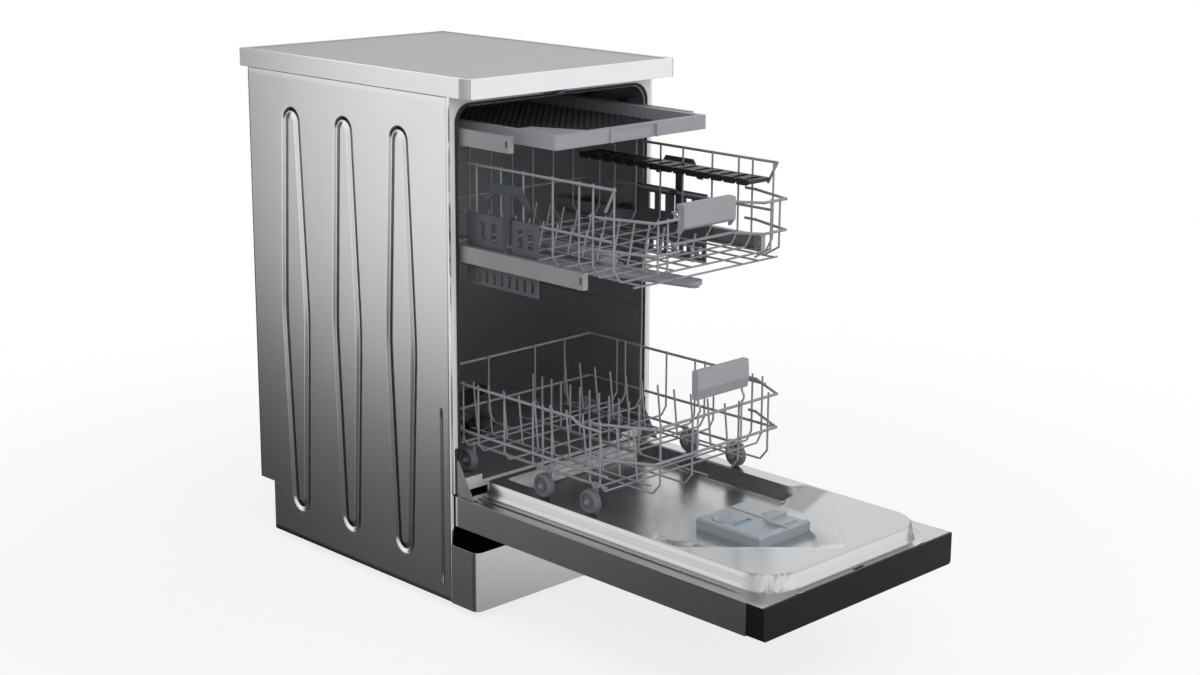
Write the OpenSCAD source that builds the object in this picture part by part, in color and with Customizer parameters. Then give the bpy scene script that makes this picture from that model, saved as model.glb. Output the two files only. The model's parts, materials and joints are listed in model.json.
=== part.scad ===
// Slimline free-standing dishwasher, door open, cutlery tray and both baskets drawn out.
// +X right, -Y towards the user, +Z up. Origin on the floor, under the middle of the footprint.

/* [Cabinet] */
// Width over the side panels
body_w = 448; // [440:1:460]
// Height from the floor to the worktop's top
body_h = 850; // [845:1:865]
// Depth of the worktop
worktop_d = 590; // [580:1:610]
// Thickness of the worktop
worktop_t = 30; // [28:1:34]
// Cabinet front behind the worktop's front edge
cab_front = 53; // [50:1:56]
// Rear panel ahead of the worktop's rear edge
rear_in = 20; // [16:1:24]
// Floor to the lower edge of the side panels
foot_gap = 10; // [8:1:12]
// Thickness of the sheet steel
sheet = 0.8; // [0.6:0.1:1]
// Height of the cut-back for the hoses, above the panels' lower edge
cutback_h = 88; // [80:1:95]
// Depth of the cut-back
cutback_d = 41; // [36:1:46]
// Depth of the pressed ribs in the side panels
rib_depth = 2; // [1:0.5:3]
// Height of the plinth's top edge above the floor
plinth_top = 108; // [100:1:110]

/* [Tub] */
// Clear width inside the tub
tub_w = 408; // [404:1:412]
// Wall thickness of the tub
tub_wall = 1.2; // [0.8:0.1:1.6]
// Corner radius of the tub's mouth
mouth_r = 30; // [24:1:34]
// Height of the ledges that the lower basket rolls on
track_z = 211; // [209:1:213]
// Width of those ledges
track_w = 46; // [42:1:48]
// Sump centre behind the worktop's front edge
sump_y = 320; // [312:1:328]

/* [Door] */
// Width of the door
door_w = 432; // [428:1:434]
// Thickness of the door
door_t = 49; // [46:1:50]
// Hinge axis above the floor
hinge_z = 182.5; // [182:0.5:184]
// Hinge axis behind the worktop's front edge
hinge_in = 45; // [44:0.5:46]
// Height of the black control panel along the door
panel_h = 33; // [30:1:40]
// Height of the liner's raised field above the door's edge
field_h = 24; // [22:1:26]

/* [Baskets] */
// Thickness of the basket rims
rim_wire = 4.4; // [4:0.2:5]
// Thickness of the basket cross wires
thin_wire = 3.2; // [2.8:0.2:3.6]
// Width of the lower basket between its side rims
lower_w = 370; // [364:1:372]
// Width of the upper basket between its side rims
upper_w = 356; // [354:1:358]
// Length of both baskets
basket_l = 466; // [455:1:470]
// Reach of the lower basket's front ahead of the worktop
lower_out = 306; // [295:1:312]
// Reach of the upper basket's front ahead of the worktop
upper_out = 308; // [300:1:314]
// Height of the upper basket's side rails above the floor
upper_rim_z = 714; // [710:1:716]
// Height of the lower basket's rim above the floor
lower_rim_z = 362; // [356:1:368]
// Wheel diameter
wheel_d = 38; // [36:1:38]

/* [Cutlery tray] */
// Width of the tray
tray_w = 330; // [322:1:334]
// Length of the tray
tray_l = 430; // [420:1:436]
// Reach of the tray ahead of the worktop
tray_out = 124; // [118:1:128]
// Top of the tray above the floor
tray_top = 775; // [773:1:778]
// Height of the tray's rim
tray_h = 22; // [20:1:24]

/* [Rails] */
// Length of the pull-out rails
rail_l = 478; // [470:1:482]
// Height of the rails
rail_h = 26; // [24:1:28]
// Reach of the basket rails ahead of the worktop
rail_out = 220; // [212:1:226]
// Reach of the tray rails ahead of the worktop
tray_rail_out = 61; // [56:1:66]

/* [Hidden] */
$fn = 48;

// Common small sizes
eps = 0.5;
gap = 0.3;
run = 0.05;

// Heights and places that follow the driving sizes
half_w = body_w / 2;
under_top = body_h - worktop_t;
rear_y = worktop_d - rear_in;
door_gap = 2.5;
door_top = under_top - door_gap;
face_gap = 3.5;
door_face = hinge_z + cab_front - face_gap - hinge_in;
door_low = door_face - door_t;
door_end = hinge_in + hinge_z - door_top;
plinth_gap = 4;
door_back = hinge_in + hinge_z - plinth_top - plinth_gap;
front_shift = (-door_end - worktop_d) / 2;

module seat() translate([0, front_shift, 0]) children();
module both_sides() {
  children();
  mirror([1, 0, 0]) children();
}

// Rounded rectangle with true arcs, centred in X, from y0 to y1
module soft_rect(w, y0, y1, r) {
  translate([-w / 2 + r, y0]) square([w - 2 * r, y1 - y0]);
  translate([-w / 2, y0 + r]) square([w, y1 - y0 - 2 * r]);
  for (x = [-w / 2 + r, w / 2 - r], y = [y0 + r, y1 - r]) translate([x, y]) circle(r = r);
}

// Upright frame: a profile drawn in X and Z, run along Y
module along_y(y0, y1) translate([0, y1, 0]) rotate([90, 0, 0]) linear_extrude(y1 - y0) children();
// A profile drawn in Y and Z, run along X
module along_x(x0, x1) translate([x0, 0, 0]) rotate([90, 0, 90]) linear_extrude(x1 - x0) children();
module block(x0, x1, y0, y1, z0, z1) translate([x0, y0, z0]) cube([x1 - x0, y1 - y0, z1 - z0]);
module bar_x(x0, x1, y, z, d) translate([x0, y, z]) rotate([0, 90, 0]) cylinder(d = d, h = x1 - x0);
module bar_y(y0, y1, x, z, d) translate([x, y1, z]) rotate([90, 0, 0]) cylinder(d = d, h = y1 - y0);
module bar_z(z0, z1, x, y, d) translate([x, y, z0]) cylinder(d = d, h = z1 - z0);

// A wire through points, with a slightly fuller ball at each bend and flat cut ends
ball_share = 1.15;
weld = 0.4;
module rod(p, q, d) {
  v = q - p;
  translate(p) rotate([0, acos(v.z / norm(v)), atan2(v.y, v.x)]) cylinder(d = d, h = norm(v));
}
module wire(pts, d) {
  for (i = [0:len(pts) - 2]) rod(pts[i], pts[i + 1], d);
  if (len(pts) > 2) for (i = [1:len(pts) - 2]) translate(pts[i]) sphere(d = d * ball_share);
}
// The points of one side, then the same points mirrored, as one path
function both(pts) = concat(pts, [for (i = [len(pts) - 1:-1:0]) [-pts[i].x, pts[i].y, pts[i].z]]);

// Worktop
rim_lip = 9;
rim_wall = 4;
board_step = 2;
board_t = 16;
board_rabbet = 1.2;
top_corner_r = 12;
corner_len = 24;
corner_t = 5;
module top_outline(inset) {
  w = body_w - 2 * inset;
  r = top_corner_r - inset;
  translate([-w / 2, inset + r]) square([w, worktop_d - 2 * inset - r]);
  translate([-w / 2 + r, inset]) square([w - 2 * r, r + eps]);
  for (s = [-1, 1]) translate([s * (w / 2 - r), inset + r]) circle(r = r);
}
module corner_zone(grow) {
  for (s = [-1, 1]) translate([s * half_w, 0, under_top + worktop_t / 2])
    cube([2 * (corner_t + grow), 2 * (corner_len + grow), 2 * worktop_t], center = true);
}
module worktop_board() seat() color([0.72, 0.73, 0.74]) {
  translate([0, 0, body_h - board_step - board_t])
    linear_extrude(board_t - board_rabbet) top_outline(rim_wall + gap / 2);
  translate([0, 0, body_h - board_step - board_rabbet - eps])
    linear_extrude(board_rabbet + eps) top_outline(rim_lip + gap / 2);
}
module worktop_rim() seat() color([0.86, 0.86, 0.87]) difference() {
  translate([0, 0, under_top]) linear_extrude(worktop_t) top_outline(0);
  translate([0, 0, under_top - eps])
    linear_extrude(worktop_t - board_step - board_rabbet + eps + gap / 2) top_outline(rim_wall);
  translate([0, 0, body_h - board_step - board_rabbet])
    linear_extrude(board_step + board_rabbet + eps) top_outline(rim_lip);
  corner_zone(0);
}
module worktop_corners() seat() color([0.6, 0.6, 0.62]) intersection() {
  difference() {
    translate([0, 0, under_top]) linear_extrude(worktop_t) top_outline(0);
    translate([0, 0, under_top - eps]) linear_extrude(worktop_t + 2 * eps) top_outline(rim_wall);
  }
  corner_zone(-gap / 2);
}

// Side panels: a pressed sheet with three long lens-shaped ribs and folded edges
rib_count = 3;
rib_below = 88;
rib_top = body_h - rib_below;
rib_foot_inset = 55;
rib_foot = foot_gap + rib_foot_inset;
rib_first_inset = 117;
rib_first = cab_front + rib_first_inset;
rib_pitch = 140;
rib_wide = 75;
rib_narrow = 44;
rib_bevel = 4;
slot_w = 5;
slot_inset = 21;
slot_y = cab_front + slot_inset;
slot_above = 38;
slot_z0 = foot_gap + slot_above;
slot_z1_above = 307;
slot_z1 = foot_gap + slot_z1_above;
side_front_fold = 6;
fold = 12;
panel_r = 8;
rib_steps = 16;
function rib_half(t) = (rib_narrow + (rib_wide - rib_narrow) * pow(sin(180 * t), 2)) / 2;
function rib_points(cut) = let (r = rib_narrow / 2, l = rib_top - rib_foot - 2 * r, h = l / 2) concat(
  [for (i = [0:rib_steps]) let (t = i / rib_steps) [rib_half(t) - cut, -h + l * t]],
  [for (a = [15:15:165]) [(r - cut) * cos(a), h + (r - cut) * sin(a)]],
  [for (i = [rib_steps:-1:0]) let (t = i / rib_steps) [-rib_half(t) + cut, -h + l * t]],
  [for (a = [195:15:345]) [(r - cut) * cos(a), -h + (r - cut) * sin(a)]]);
module rib_places() for (i = [0:rib_count - 1])
  translate([rib_first + i * rib_pitch, (rib_top + rib_foot) / 2]) children();
// The panel's outline in Y and Z, with the cut-back at the lower rear
module panel_outline() {
  z_step = foot_gap + cutback_h;
  y_step = rear_y - cutback_d;
  difference() {
    translate([cab_front, foot_gap]) square([rear_y - cab_front, under_top - foot_gap]);
    translate([y_step, foot_gap - eps]) square([cutback_d + eps, cutback_h + eps]);
    translate([rear_y - panel_r, z_step]) difference() {
      translate([0, -eps]) square([panel_r + eps, panel_r + eps]);
      translate([0, panel_r]) circle(r = panel_r);
    }
  }
}
// Built for the left side, its outer face at x = -half_w
module side_panel() difference() {
  union() {
    along_x(-half_w, -half_w + sheet) panel_outline();
    along_x(-half_w + sheet / 2, -half_w + rib_depth + sheet) rib_places() polygon(rib_points(-sheet));
    block(-half_w, -half_w + side_front_fold, cab_front, cab_front + sheet, door_low, under_top);
    block(-half_w, -half_w + fold, rear_y - sheet, rear_y, foot_gap + cutback_h + panel_r, under_top);
    block(-half_w, -half_w + fold, cab_front, rear_y, under_top - sheet, under_top);
    block(-half_w, -half_w + fold, cab_front, rear_y - cutback_d, foot_gap, foot_gap + sheet);
  }
  along_x(-half_w - eps, -half_w + rib_depth / 2) rib_places() polygon(rib_points(0));
  along_x(-half_w - eps, -half_w + rib_depth) rib_places() polygon(rib_points(rib_bevel));
  along_x(-half_w - eps, -half_w + sheet / 2) {
    translate([slot_y - slot_w / 2, slot_z0]) square([slot_w, slot_z1 - slot_z0]);
    for (z = [slot_z0, slot_z1]) translate([slot_y, z]) circle(d = slot_w);
  }
}
module left_side_panel() seat() color([0.74, 0.75, 0.76]) side_panel();
module right_side_panel() seat() color([0.74, 0.75, 0.76]) mirror([1, 0, 0]) side_panel();

// Rear panel, inside the side panels' rear folds
rear_rib_h = 6;
rear_rib_w = 26;
module rear_panel() seat() color([0.55, 0.57, 0.58]) {
  y1 = rear_y - sheet - gap;
  z0 = foot_gap + cutback_h + gap;
  x1 = half_w - sheet - gap;
  difference() {
    union() {
      block(-x1, x1, y1 - sheet, y1, z0, under_top - sheet - gap);
      for (z = [0.3, 0.5, 0.7]) translate([0, y1 - sheet / 2, z * body_h]) rotate([90, 0, 0])
        linear_extrude(rear_rib_h) soft_rect(body_w * 0.7, -rear_rib_w / 2, rear_rib_w / 2, rear_rib_w / 3);
    }
    for (z = [0.3, 0.5, 0.7]) translate([0, y1 + eps, z * body_h]) rotate([90, 0, 0])
      linear_extrude(rear_rib_h + eps - sheet)
        soft_rect(body_w * 0.7 - 2 * sheet, -rear_rib_w / 2 + sheet, rear_rib_w / 2 - sheet,
          rear_rib_w / 3 - sheet);
  }
}

// Plinth: a folded apron with rounded front corners, open at the top and the back
plinth_reach = 7.5;
plinth_r = 12;
module plinth_outline(inset) {
  w = body_w - 2 * inset;
  r = plinth_r - inset;
  translate([-w / 2, -plinth_reach + inset + r]) square([w, cab_front + plinth_reach - inset - r]);
  translate([-w / 2 + r, -plinth_reach + inset]) square([w - 2 * r, r + eps]);
  for (s = [-1, 1]) translate([s * (w / 2 - r), -plinth_reach + inset + r]) circle(r = r);
}
module plinth() seat() color([0.68, 0.69, 0.7]) difference() {
  translate([0, -gap, foot_gap]) linear_extrude(plinth_top - foot_gap) plinth_outline(0);
  translate([0, -gap, foot_gap - eps]) linear_extrude(plinth_top)
    union() {
      plinth_outline(sheet);
      translate([-half_w + sheet, cab_front - eps]) square([body_w - 2 * sheet, 2 * eps]);
    }
}

// Base moulding: floor plate, foot bosses, posts under the tub and the rear service wall
base_z = 22;
base_t = 4;
base_side = half_w - fold - gap;
base_y0 = cab_front + 3;
base_y1 = rear_y - cutback_d - 2;
base_rim = 10;
foot_setback = 36;
foot_x = half_w - foot_setback;
front_foot_inset = 24;
front_foot_y = cab_front + front_foot_inset;
rear_foot_setback = 24;
rear_foot_y = base_y1 - rear_foot_setback;
boss_d = 34;
stem_d = 12;
post = 18;
post_setback = 16;
post_x = tub_w / 2 - post_setback;
post_inset = 40;
post_y0 = door_back + post_inset;
post_y1_setback = 40;
post_y1 = base_y1 - post_y1_setback;
gland_x = 120;
gland_z = 58;
gland_d = 9;
spigot_x = -60;
spigot_d = 19;
spigot_l = 30;
spigot_barbs = 3;
barb_rise = 3;
service_t = 4;
function foot_place(sx, fy) = [sx * foot_x, fy, 0];
module base_tray() seat() color([0.22, 0.23, 0.24]) {
  y_wall = base_y1 - service_t;
  difference() {
    union() {
      block(-base_side, base_side, base_y0, base_y1, base_z, base_z + base_t);
      block(-base_side, base_side, base_y0, base_y0 + base_t, base_z, base_z + base_rim);
      for (s = [-1, 1]) block(min(s * base_side, s * (base_side - base_t)),
        max(s * base_side, s * (base_side - base_t)), base_y0, base_y1, base_z, base_z + base_rim);
      for (s = [-1, 1], y = [front_foot_y, rear_foot_y]) bar_z(base_z - 6, base_z + 22, s * foot_x, y,
        boss_d);
      for (s = [-1, 1], y = [post_y0, post_y1])
        block(s * post_x - post / 2, s * post_x + post / 2, y - post / 2, y + post / 2, base_z,
          tub_under - gap);
      block(-base_side, base_side, y_wall, base_y1, base_z, gland_z + 30);
      bar_y(base_y1 - eps, base_y1 + spigot_l, spigot_x, gland_z, spigot_d);
      for (i = [1:spigot_barbs]) translate([spigot_x, base_y1 + i * spigot_l / (spigot_barbs + 1), gland_z])
        rotate([-90, 0, 0]) cylinder(d1 = spigot_d + barb_rise, d2 = spigot_d,
          h = spigot_l / (2 * spigot_barbs));
      bar_y(y_wall, base_y1 + 6, gland_x, gland_z, gland_d * 2.4);
    }
    for (s = [-1, 1], y = [front_foot_y, rear_foot_y])
      bar_z(base_z - 6 - eps, base_z + 22 + eps, s * foot_x, y, stem_d + 2 * run);
    bar_y(y_wall - eps, base_y1 + spigot_l + eps, spigot_x, gland_z, spigot_d - 5);
    bar_y(y_wall - eps, base_y1 + 6 + eps, gland_x, gland_z, gland_d);
  }
}

// Levelling feet: a threaded stem with a hexagon and a broad pad
pad_d = 34;
pad_t = 6;
stem_h = 34;
hex_d = 22;
module foot_at(sx, fy) seat() color([0.12, 0.12, 0.13]) translate(foot_place(sx, fy)) {
  cylinder(d = pad_d, h = pad_t / 2);
  translate([0, 0, pad_t / 2]) cylinder(d1 = pad_d, d2 = hex_d, h = pad_t / 2);
  translate([0, 0, pad_t - eps]) cylinder(d = hex_d, h = base_z - 6 - pad_t - gap + eps, $fn = 6);
  cylinder(d = stem_d, h = pad_t + stem_h);
}
module front_left_foot() foot_at(-1, front_foot_y);
module front_right_foot() foot_at(1, front_foot_y);
module rear_left_foot() foot_at(-1, rear_foot_y);
module rear_right_foot() foot_at(1, rear_foot_y);

// Tub: stainless box with wheel ledges, pressed wall beads and a flange round its mouth
tub_below = 14;
tub_top = under_top - tub_below;
mouth_top = tub_top - 3;
tub_floor_setback = 11;
tub_floor = track_z - tub_floor_setback;
tub_under = door_face + face_gap;
tub_back_setback = 10;
tub_back = rear_y - tub_back_setback;
bead_r = 5;
bead_z_share = [0.5, 0.56];
seam = 0.2;
mouth_low = tub_floor + 1;
well_r = 78;
blade_slot_x = tub_w / 2 + 2;
blade_slot_w = 8.5;
blade_slot_h = 74;
// Inside outline in X and Z
module tub_profile(grow) {
  w = tub_w / 2 + grow;
  r = mouth_r + grow;
  ledge = tub_w / 2 - track_w + grow;
  translate([-w + r, track_z - grow]) square([2 * (w - r), tub_top - track_z + 2 * grow]);
  translate([-w, track_z - grow]) square([2 * w, tub_top - track_z - mouth_r + grow]);
  for (s = [-1, 1]) translate([s * (w - r), tub_top + grow - r]) circle(r = r);
  translate([-ledge, tub_floor - grow]) square([2 * ledge, track_z - tub_floor + 2 * grow]);
  for (s = [-1, 1], k = bead_z_share) translate([s * (w - grow), k * body_h]) circle(r = bead_r / 2 + grow);
}
module tub_mouth(grow) {
  w = tub_w / 2 + grow;
  translate([-w, track_z - grow]) square([2 * w, mouth_top - track_z - mouth_r + grow]);
  translate([-w + mouth_r, mouth_top - mouth_r - eps]) square([2 * (w - mouth_r), mouth_r + grow + eps]);
  for (s = [-1, 1]) translate([s * (w - mouth_r), mouth_top + grow - mouth_r]) circle(r = mouth_r);
  translate([-tub_w / 2 + track_w - grow, mouth_low - grow]) square([tub_w - 2 * track_w + 2 * grow,
    track_w]);
}
// The pressings meet at narrow welded seams: four strips of the mouth flange, rear wall, ceiling with its corners,
// sides and floor pan
module tub_seams() {
  y0 = cab_front + sheet;
  y1 = tub_back - tub_wall - seam;
  x0 = tub_w / 2 - eps;
  x1 = tub_w / 2 + tub_wall + bead_r;
  for (y = [y0, y1]) block(-x1, x1, y, y + seam, tub_floor - 2 * tub_wall, tub_top + 2 * tub_wall);
  both_sides() for (z = [track_z, tub_top - mouth_r - seam]) block(-x1, -x0, y0, y1 + seam, z, z + seam);
  both_sides() for (z = [tub_under + blade_slot_h + face_gap, mouth_top - mouth_r - seam])
    block(-half_w, -x0, cab_front - eps, y0 + eps, z, z + seam);
}
module tub() seat() color([0.5, 0.51, 0.52]) difference() {
  union() {
    along_y(cab_front, tub_back) tub_profile(tub_wall);
    along_y(cab_front, cab_front + sheet) translate([-half_w + side_front_fold + gap, tub_under])
      square([body_w - 2 * (side_front_fold + gap), under_top - sheet - gap - tub_under]);
  }
  along_y(cab_front + sheet, tub_back - tub_wall) tub_profile(0);
  along_y(cab_front - eps, cab_front + 2 * sheet) tub_mouth(0);
  bar_z(tub_floor - 3 * tub_wall, tub_floor + eps, 0, sump_y, 2 * well_r);
  for (s = [-1, 1]) translate([s * (blade_slot_x + blade_slot_w / 2), cab_front, tub_under])
    cube([blade_slot_w, 4 * sheet, 2 * blade_slot_h], center = true);
  bar_z(tub_floor - 3 * tub_wall, tub_floor + eps, salt_x, salt_y, 2 * (salt_r + gap));
  tub_seams();
}

// Rubber seal round the mouth, in front of the flange: two side lengths and a top length with its corners
seal_w = 3.5;
seal_t = 3;
module tub_gasket() seat() color([0.25, 0.25, 0.26])
  along_y(cab_front - seal_t - gap, cab_front - gap) difference() {
    tub_mouth(seal_w + 1);
    tub_mouth(1);
    translate([-tub_w, 0]) square([2 * tub_w, track_z + 4]);
    translate([-tub_w, mouth_top - mouth_r - seam]) square([2 * tub_w, seam]);
  }

// Sump bowl under the tub, with the outlets of the two pumps
sump_top = tub_floor - tub_wall - gap;
sump_low = 112;
sump_wall = 3;
sump_foot_share = 0.62;
sump_slope = 34;
sump_rim_t = 4;
sump_rim_w = 8;
outlet_above = 26;
outlet_z = sump_low + outlet_above;
outlet_d = 36;
drain_d = outlet_d * 0.8;
wash_stub = 14;
drain_stub = 12;
module sump() seat() color([0.2, 0.21, 0.22]) translate([0, sump_y, 0]) difference() {
  foot_r = well_r * sump_foot_share;
  union() {
    rotate_extrude() polygon([[0, sump_low], [foot_r, sump_low], [well_r, sump_low + sump_slope],
      [well_r, sump_top - sump_rim_t], [well_r + sump_rim_w, sump_top - sump_rim_t],
      [well_r + sump_rim_w, sump_top], [0, sump_top]]);
    bar_y(0, well_r + wash_stub, 0, outlet_z, outlet_d);
    bar_x(0, well_r + drain_stub, 0, outlet_z, drain_d);
  }
  rotate_extrude() polygon([[0, sump_low + sump_wall], [foot_r - 1, sump_low + sump_wall],
    [well_r - sump_wall, sump_low + sump_slope + 1], [well_r - sump_wall, sump_top + eps], [0, sump_top + eps]]);
  bar_y(0, well_r + wash_stub + 1, 0, outlet_z, outlet_d - 2 * sump_wall);
  bar_x(0, well_r + drain_stub + 1, 0, outlet_z, drain_d - 2 * sump_wall);
}

// Coarse filter plate with a ring of slots, and the twist-out filter cylinder in it
filter_r = well_r - sump_wall - 1;
cyl_r = 30;
cyl_wall = 3;
cyl_foot = 38;
cyl_holes = 6;
cyl_hole_d = 9;
cyl_grip = [cyl_r, 4, 12];
cyl_grip_above = 7;
plate_t = 2;
plate_hole_y = 36;
plate_hole_d = 26;
slot_n = 18;
plate_slot_inset = 10;
plate_slot_l = 9;
plate_slot_w = 3;
filter_setback = 42;
filter_y = sump_y - filter_setback;
riser_d = 20;
arm_pin_d = 12;
module filter_plate() seat() color([0.55, 0.56, 0.57]) difference() {
  union() {
    translate([0, sump_y, tub_floor - plate_t]) cylinder(r = filter_r, h = plate_t);
    bar_z(tub_floor - plate_t, arm_foot_z - gap, 0, sump_y, riser_d);
    bar_z(arm_foot_z - eps, lower_arm_z + arm_blade_t * arm_top_share, 0, sump_y, arm_pin_d);
  }
  bar_z(tub_floor - 2 * plate_t, tub_floor + eps, 0, filter_y, 2 * (cyl_r + gap));
  bar_z(tub_floor - 2 * plate_t, tub_floor + eps, 0, sump_y + plate_hole_y, plate_hole_d);
  for (i = [0:slot_n - 1]) translate([0, sump_y, tub_floor - plate_t / 2]) rotate([0, 0, i * 360 / slot_n])
    translate([filter_r - plate_slot_inset, 0, 0]) cube([plate_slot_l, plate_slot_w, 2 * plate_t], center = true);
}
module filter_cylinder() seat() color([0.3, 0.31, 0.32]) translate([0, filter_y, 0]) {
  difference() {
    bar_z(sump_low + cyl_foot, tub_floor - gap, 0, 0, 2 * cyl_r);
    bar_z(sump_low + cyl_foot + cyl_wall, tub_floor + eps, 0, 0, 2 * (cyl_r - cyl_wall));
  }
  translate([0, 0, tub_floor - 2 * plate_t]) difference() {
    cylinder(r = cyl_r - gap, h = 3 * plate_t);
    for (i = [0:cyl_holes - 1]) rotate([0, 0, i * 360 / cyl_holes]) translate([cyl_r * 0.6, 0, 0])
      cylinder(d = cyl_hole_d, h = 12 * plate_t, center = true);
  }
  for (a = [0, 90]) rotate([0, 0, a]) translate([0, 0, tub_floor + cyl_grip_above]) cube(cyl_grip, center = true);
}

// Pumps, softener and valve under the tub
wash_d = 86;
wash_inset = 16;
wash_y0 = sump_y + well_r + wash_inset;
wash_l = 96;
wash_volute = [4, 40];
wash_inlet = 8;
wash_motor_d = wash_d * 0.78;
wash_fins = 5;
wash_fin_d = wash_d * 0.84;
wash_fin_t = 4;
wash_fin_first = 50;
wash_fin_pitch = 9;
wash_foot_y = 22;
module wash_pump() seat() color([0.3, 0.31, 0.33]) translate([0, 0, outlet_z]) {
  axis_z = -outlet_d / 2;
  bar_y(sump_y + well_r + wash_stub + gap, wash_y0 + wash_inlet, 0, 0, outlet_d);
  bar_y(wash_y0 + wash_volute[0], wash_y0 + wash_volute[1], 0, axis_z, wash_d);
  bar_y(wash_y0 + wash_volute[1] - eps, wash_y0 + wash_l, 0, axis_z, wash_motor_d);
  for (k = [0:wash_fins - 1]) bar_y(wash_y0 + wash_fin_first + k * wash_fin_pitch,
    wash_y0 + wash_fin_first + wash_fin_t + k * wash_fin_pitch, 0, axis_z, wash_fin_d);
  translate([0, wash_y0 + wash_foot_y, axis_z - wash_d / 2]) mount_foot(outlet_z + axis_z - wash_d / 2, wash_foot_l);
}
// A rubber block that carries a pump on the base plate, from the pump down
wash_foot_l = 24;
drain_foot_l = 16;
foot_block_w = 28;
foot_block_in = 8;
module mount_foot(h, long) translate([-foot_block_w / 2, -long / 2, -(h - base_z - base_t - gap)])
  cube([foot_block_w, long, h - base_z - base_t - gap + foot_block_in]);
drain_neck = 14;
drain_head = [10, 30];
drain_head_d = 62;
drain_end = 74;
drain_motor_d = 46;
drain_drop = 8;
drain_foot_x = 20;
module drain_pump() seat() color([0.16, 0.17, 0.18]) translate([0, sump_y, outlet_z]) {
  x0 = well_r + drain_stub + gap;
  foot_z = drain_drop + drain_head_d / 2;
  bar_x(x0, x0 + drain_neck, 0, 0, drain_d);
  bar_x(x0 + drain_head[0], x0 + drain_head[1], 0, -drain_drop, drain_head_d);
  bar_x(x0 + drain_head[1] - eps, x0 + drain_end, 0, -drain_drop, drain_motor_d);
  translate([x0 + drain_foot_x, 0, -foot_z]) rotate([0, 0, 90]) mount_foot(outlet_z - foot_z, drain_foot_l);
}
salt_x = -125;
salt_setback = 70;
salt_y = sump_y - salt_setback;
salt_r = 26;
salt_h = 12;
salt_neck_wall = 4;
salt_grips = 12;
salt_grip_t = 4;
salt_bar_inset = 14;
salt_bar_w = 6;
soft_low = 96;
soft_x = [60, 34];
soft_y = [48, 110];
soft_top_gap = 14;
soft_floor = 8;
soft_post_x = [30, 10];
soft_post_l = 30;
module softener_tank() seat() color([0.82, 0.82, 0.8]) {
  top = tub_floor - tub_wall - soft_top_gap;
  difference() {
    union() {
      block(salt_x - soft_x[0], salt_x + soft_x[1], salt_y - soft_y[0], salt_y + soft_y[1], soft_low, top);
      bar_z(top - 2, tub_floor - gap, salt_x, salt_y, 2 * salt_r);
      block(salt_x - soft_post_x[0], salt_x + soft_post_x[1], salt_y, salt_y + soft_post_l,
        base_z + base_t + gap, soft_low + eps);
    }
    bar_z(soft_low + soft_floor, tub_floor + eps, salt_x, salt_y, 2 * (salt_r - salt_neck_wall));
  }
}
module salt_cap() seat() color([0.3, 0.31, 0.33]) translate([salt_x, salt_y, tub_floor - gap / 2]) {
  cylinder(r = salt_r - 1, h = salt_h / 2);
  translate([0, 0, -salt_h]) cylinder(r = salt_r - salt_neck_wall - gap, h = salt_h + eps);
  for (i = [0:salt_grips - 1]) rotate([0, 0, i * 360 / salt_grips]) translate([salt_r - 2, 0, salt_h / 4])
    cube([salt_grip_t, salt_grip_t, salt_h / 2], center = true);
  translate([0, 0, salt_h * 0.6]) cube([2 * salt_r - salt_bar_inset, salt_bar_w, salt_h * 0.7], center = true);
}
valve_x = 30;
valve_thread = 26.4;
valve_l = 22;
valve_rim_d = 34;
valve_rim_t = 6;
valve_bore = valve_thread - 9;
module inlet_valve() seat() color([0.85, 0.85, 0.83]) difference() {
  union() {
    bar_y(base_y1 + gap, base_y1 + gap + valve_rim_t, valve_x, gland_z, valve_rim_d);
    bar_y(base_y1 + gap, base_y1 + gap + valve_l, valve_x, gland_z, valve_thread);
  }
  bar_y(base_y1, base_y1 + valve_l + 2, valve_x, gland_z, valve_bore);
}

// Cast ballast block at the rear of the base
ballast = [330, 34, 54];
ballast_slot_w = 14;
ballast_slot_share = [0.12, 0.88];
module counterweight() seat() color([0.35, 0.35, 0.36])
  translate([-ballast.x / 2, base_y1 - service_t - gap - ballast.y, base_z + base_t + gap]) difference() {
    cube(ballast);
    for (s = ballast_slot_share) translate([s * ballast.x, -eps, ballast.z * 0.5])
      cube([ballast_slot_w, ballast.y * 0.5, ballast.z * 2], center = true);
  }

// Hinge brackets with their pins, behind the tub flange
arm_inset = 5.5;
arm_x = tub_w / 2 + arm_inset;
arm_t = 2.5;
pin_d = 8;
bracket_t = 2.5;
bracket_x = arm_x - bracket_t - gap;
module hinge_brackets() seat() color([0.6, 0.6, 0.6]) both_sides() difference() {
  union() {
    along_x(bracket_x, bracket_x + bracket_t) difference() {
      polygon([[hinge_in - 9, hinge_z - 9], [hinge_in + 9, hinge_z - 9], [cab_front + 46, tub_under + 26],
        [cab_front + 46, tub_under + 96], [cab_front + 2, tub_under + 96], [cab_front + 2, tub_under + 12],
        [hinge_in - 9, hinge_z + 9]]);
    }
    bar_x(bracket_x, arm_x + arm_t + 1, hinge_in, hinge_z, pin_d);
    bar_x(arm_x + arm_t + gap, arm_x + arm_t + 2, hinge_in, hinge_z, pin_d + 4);
  }
}
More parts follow.
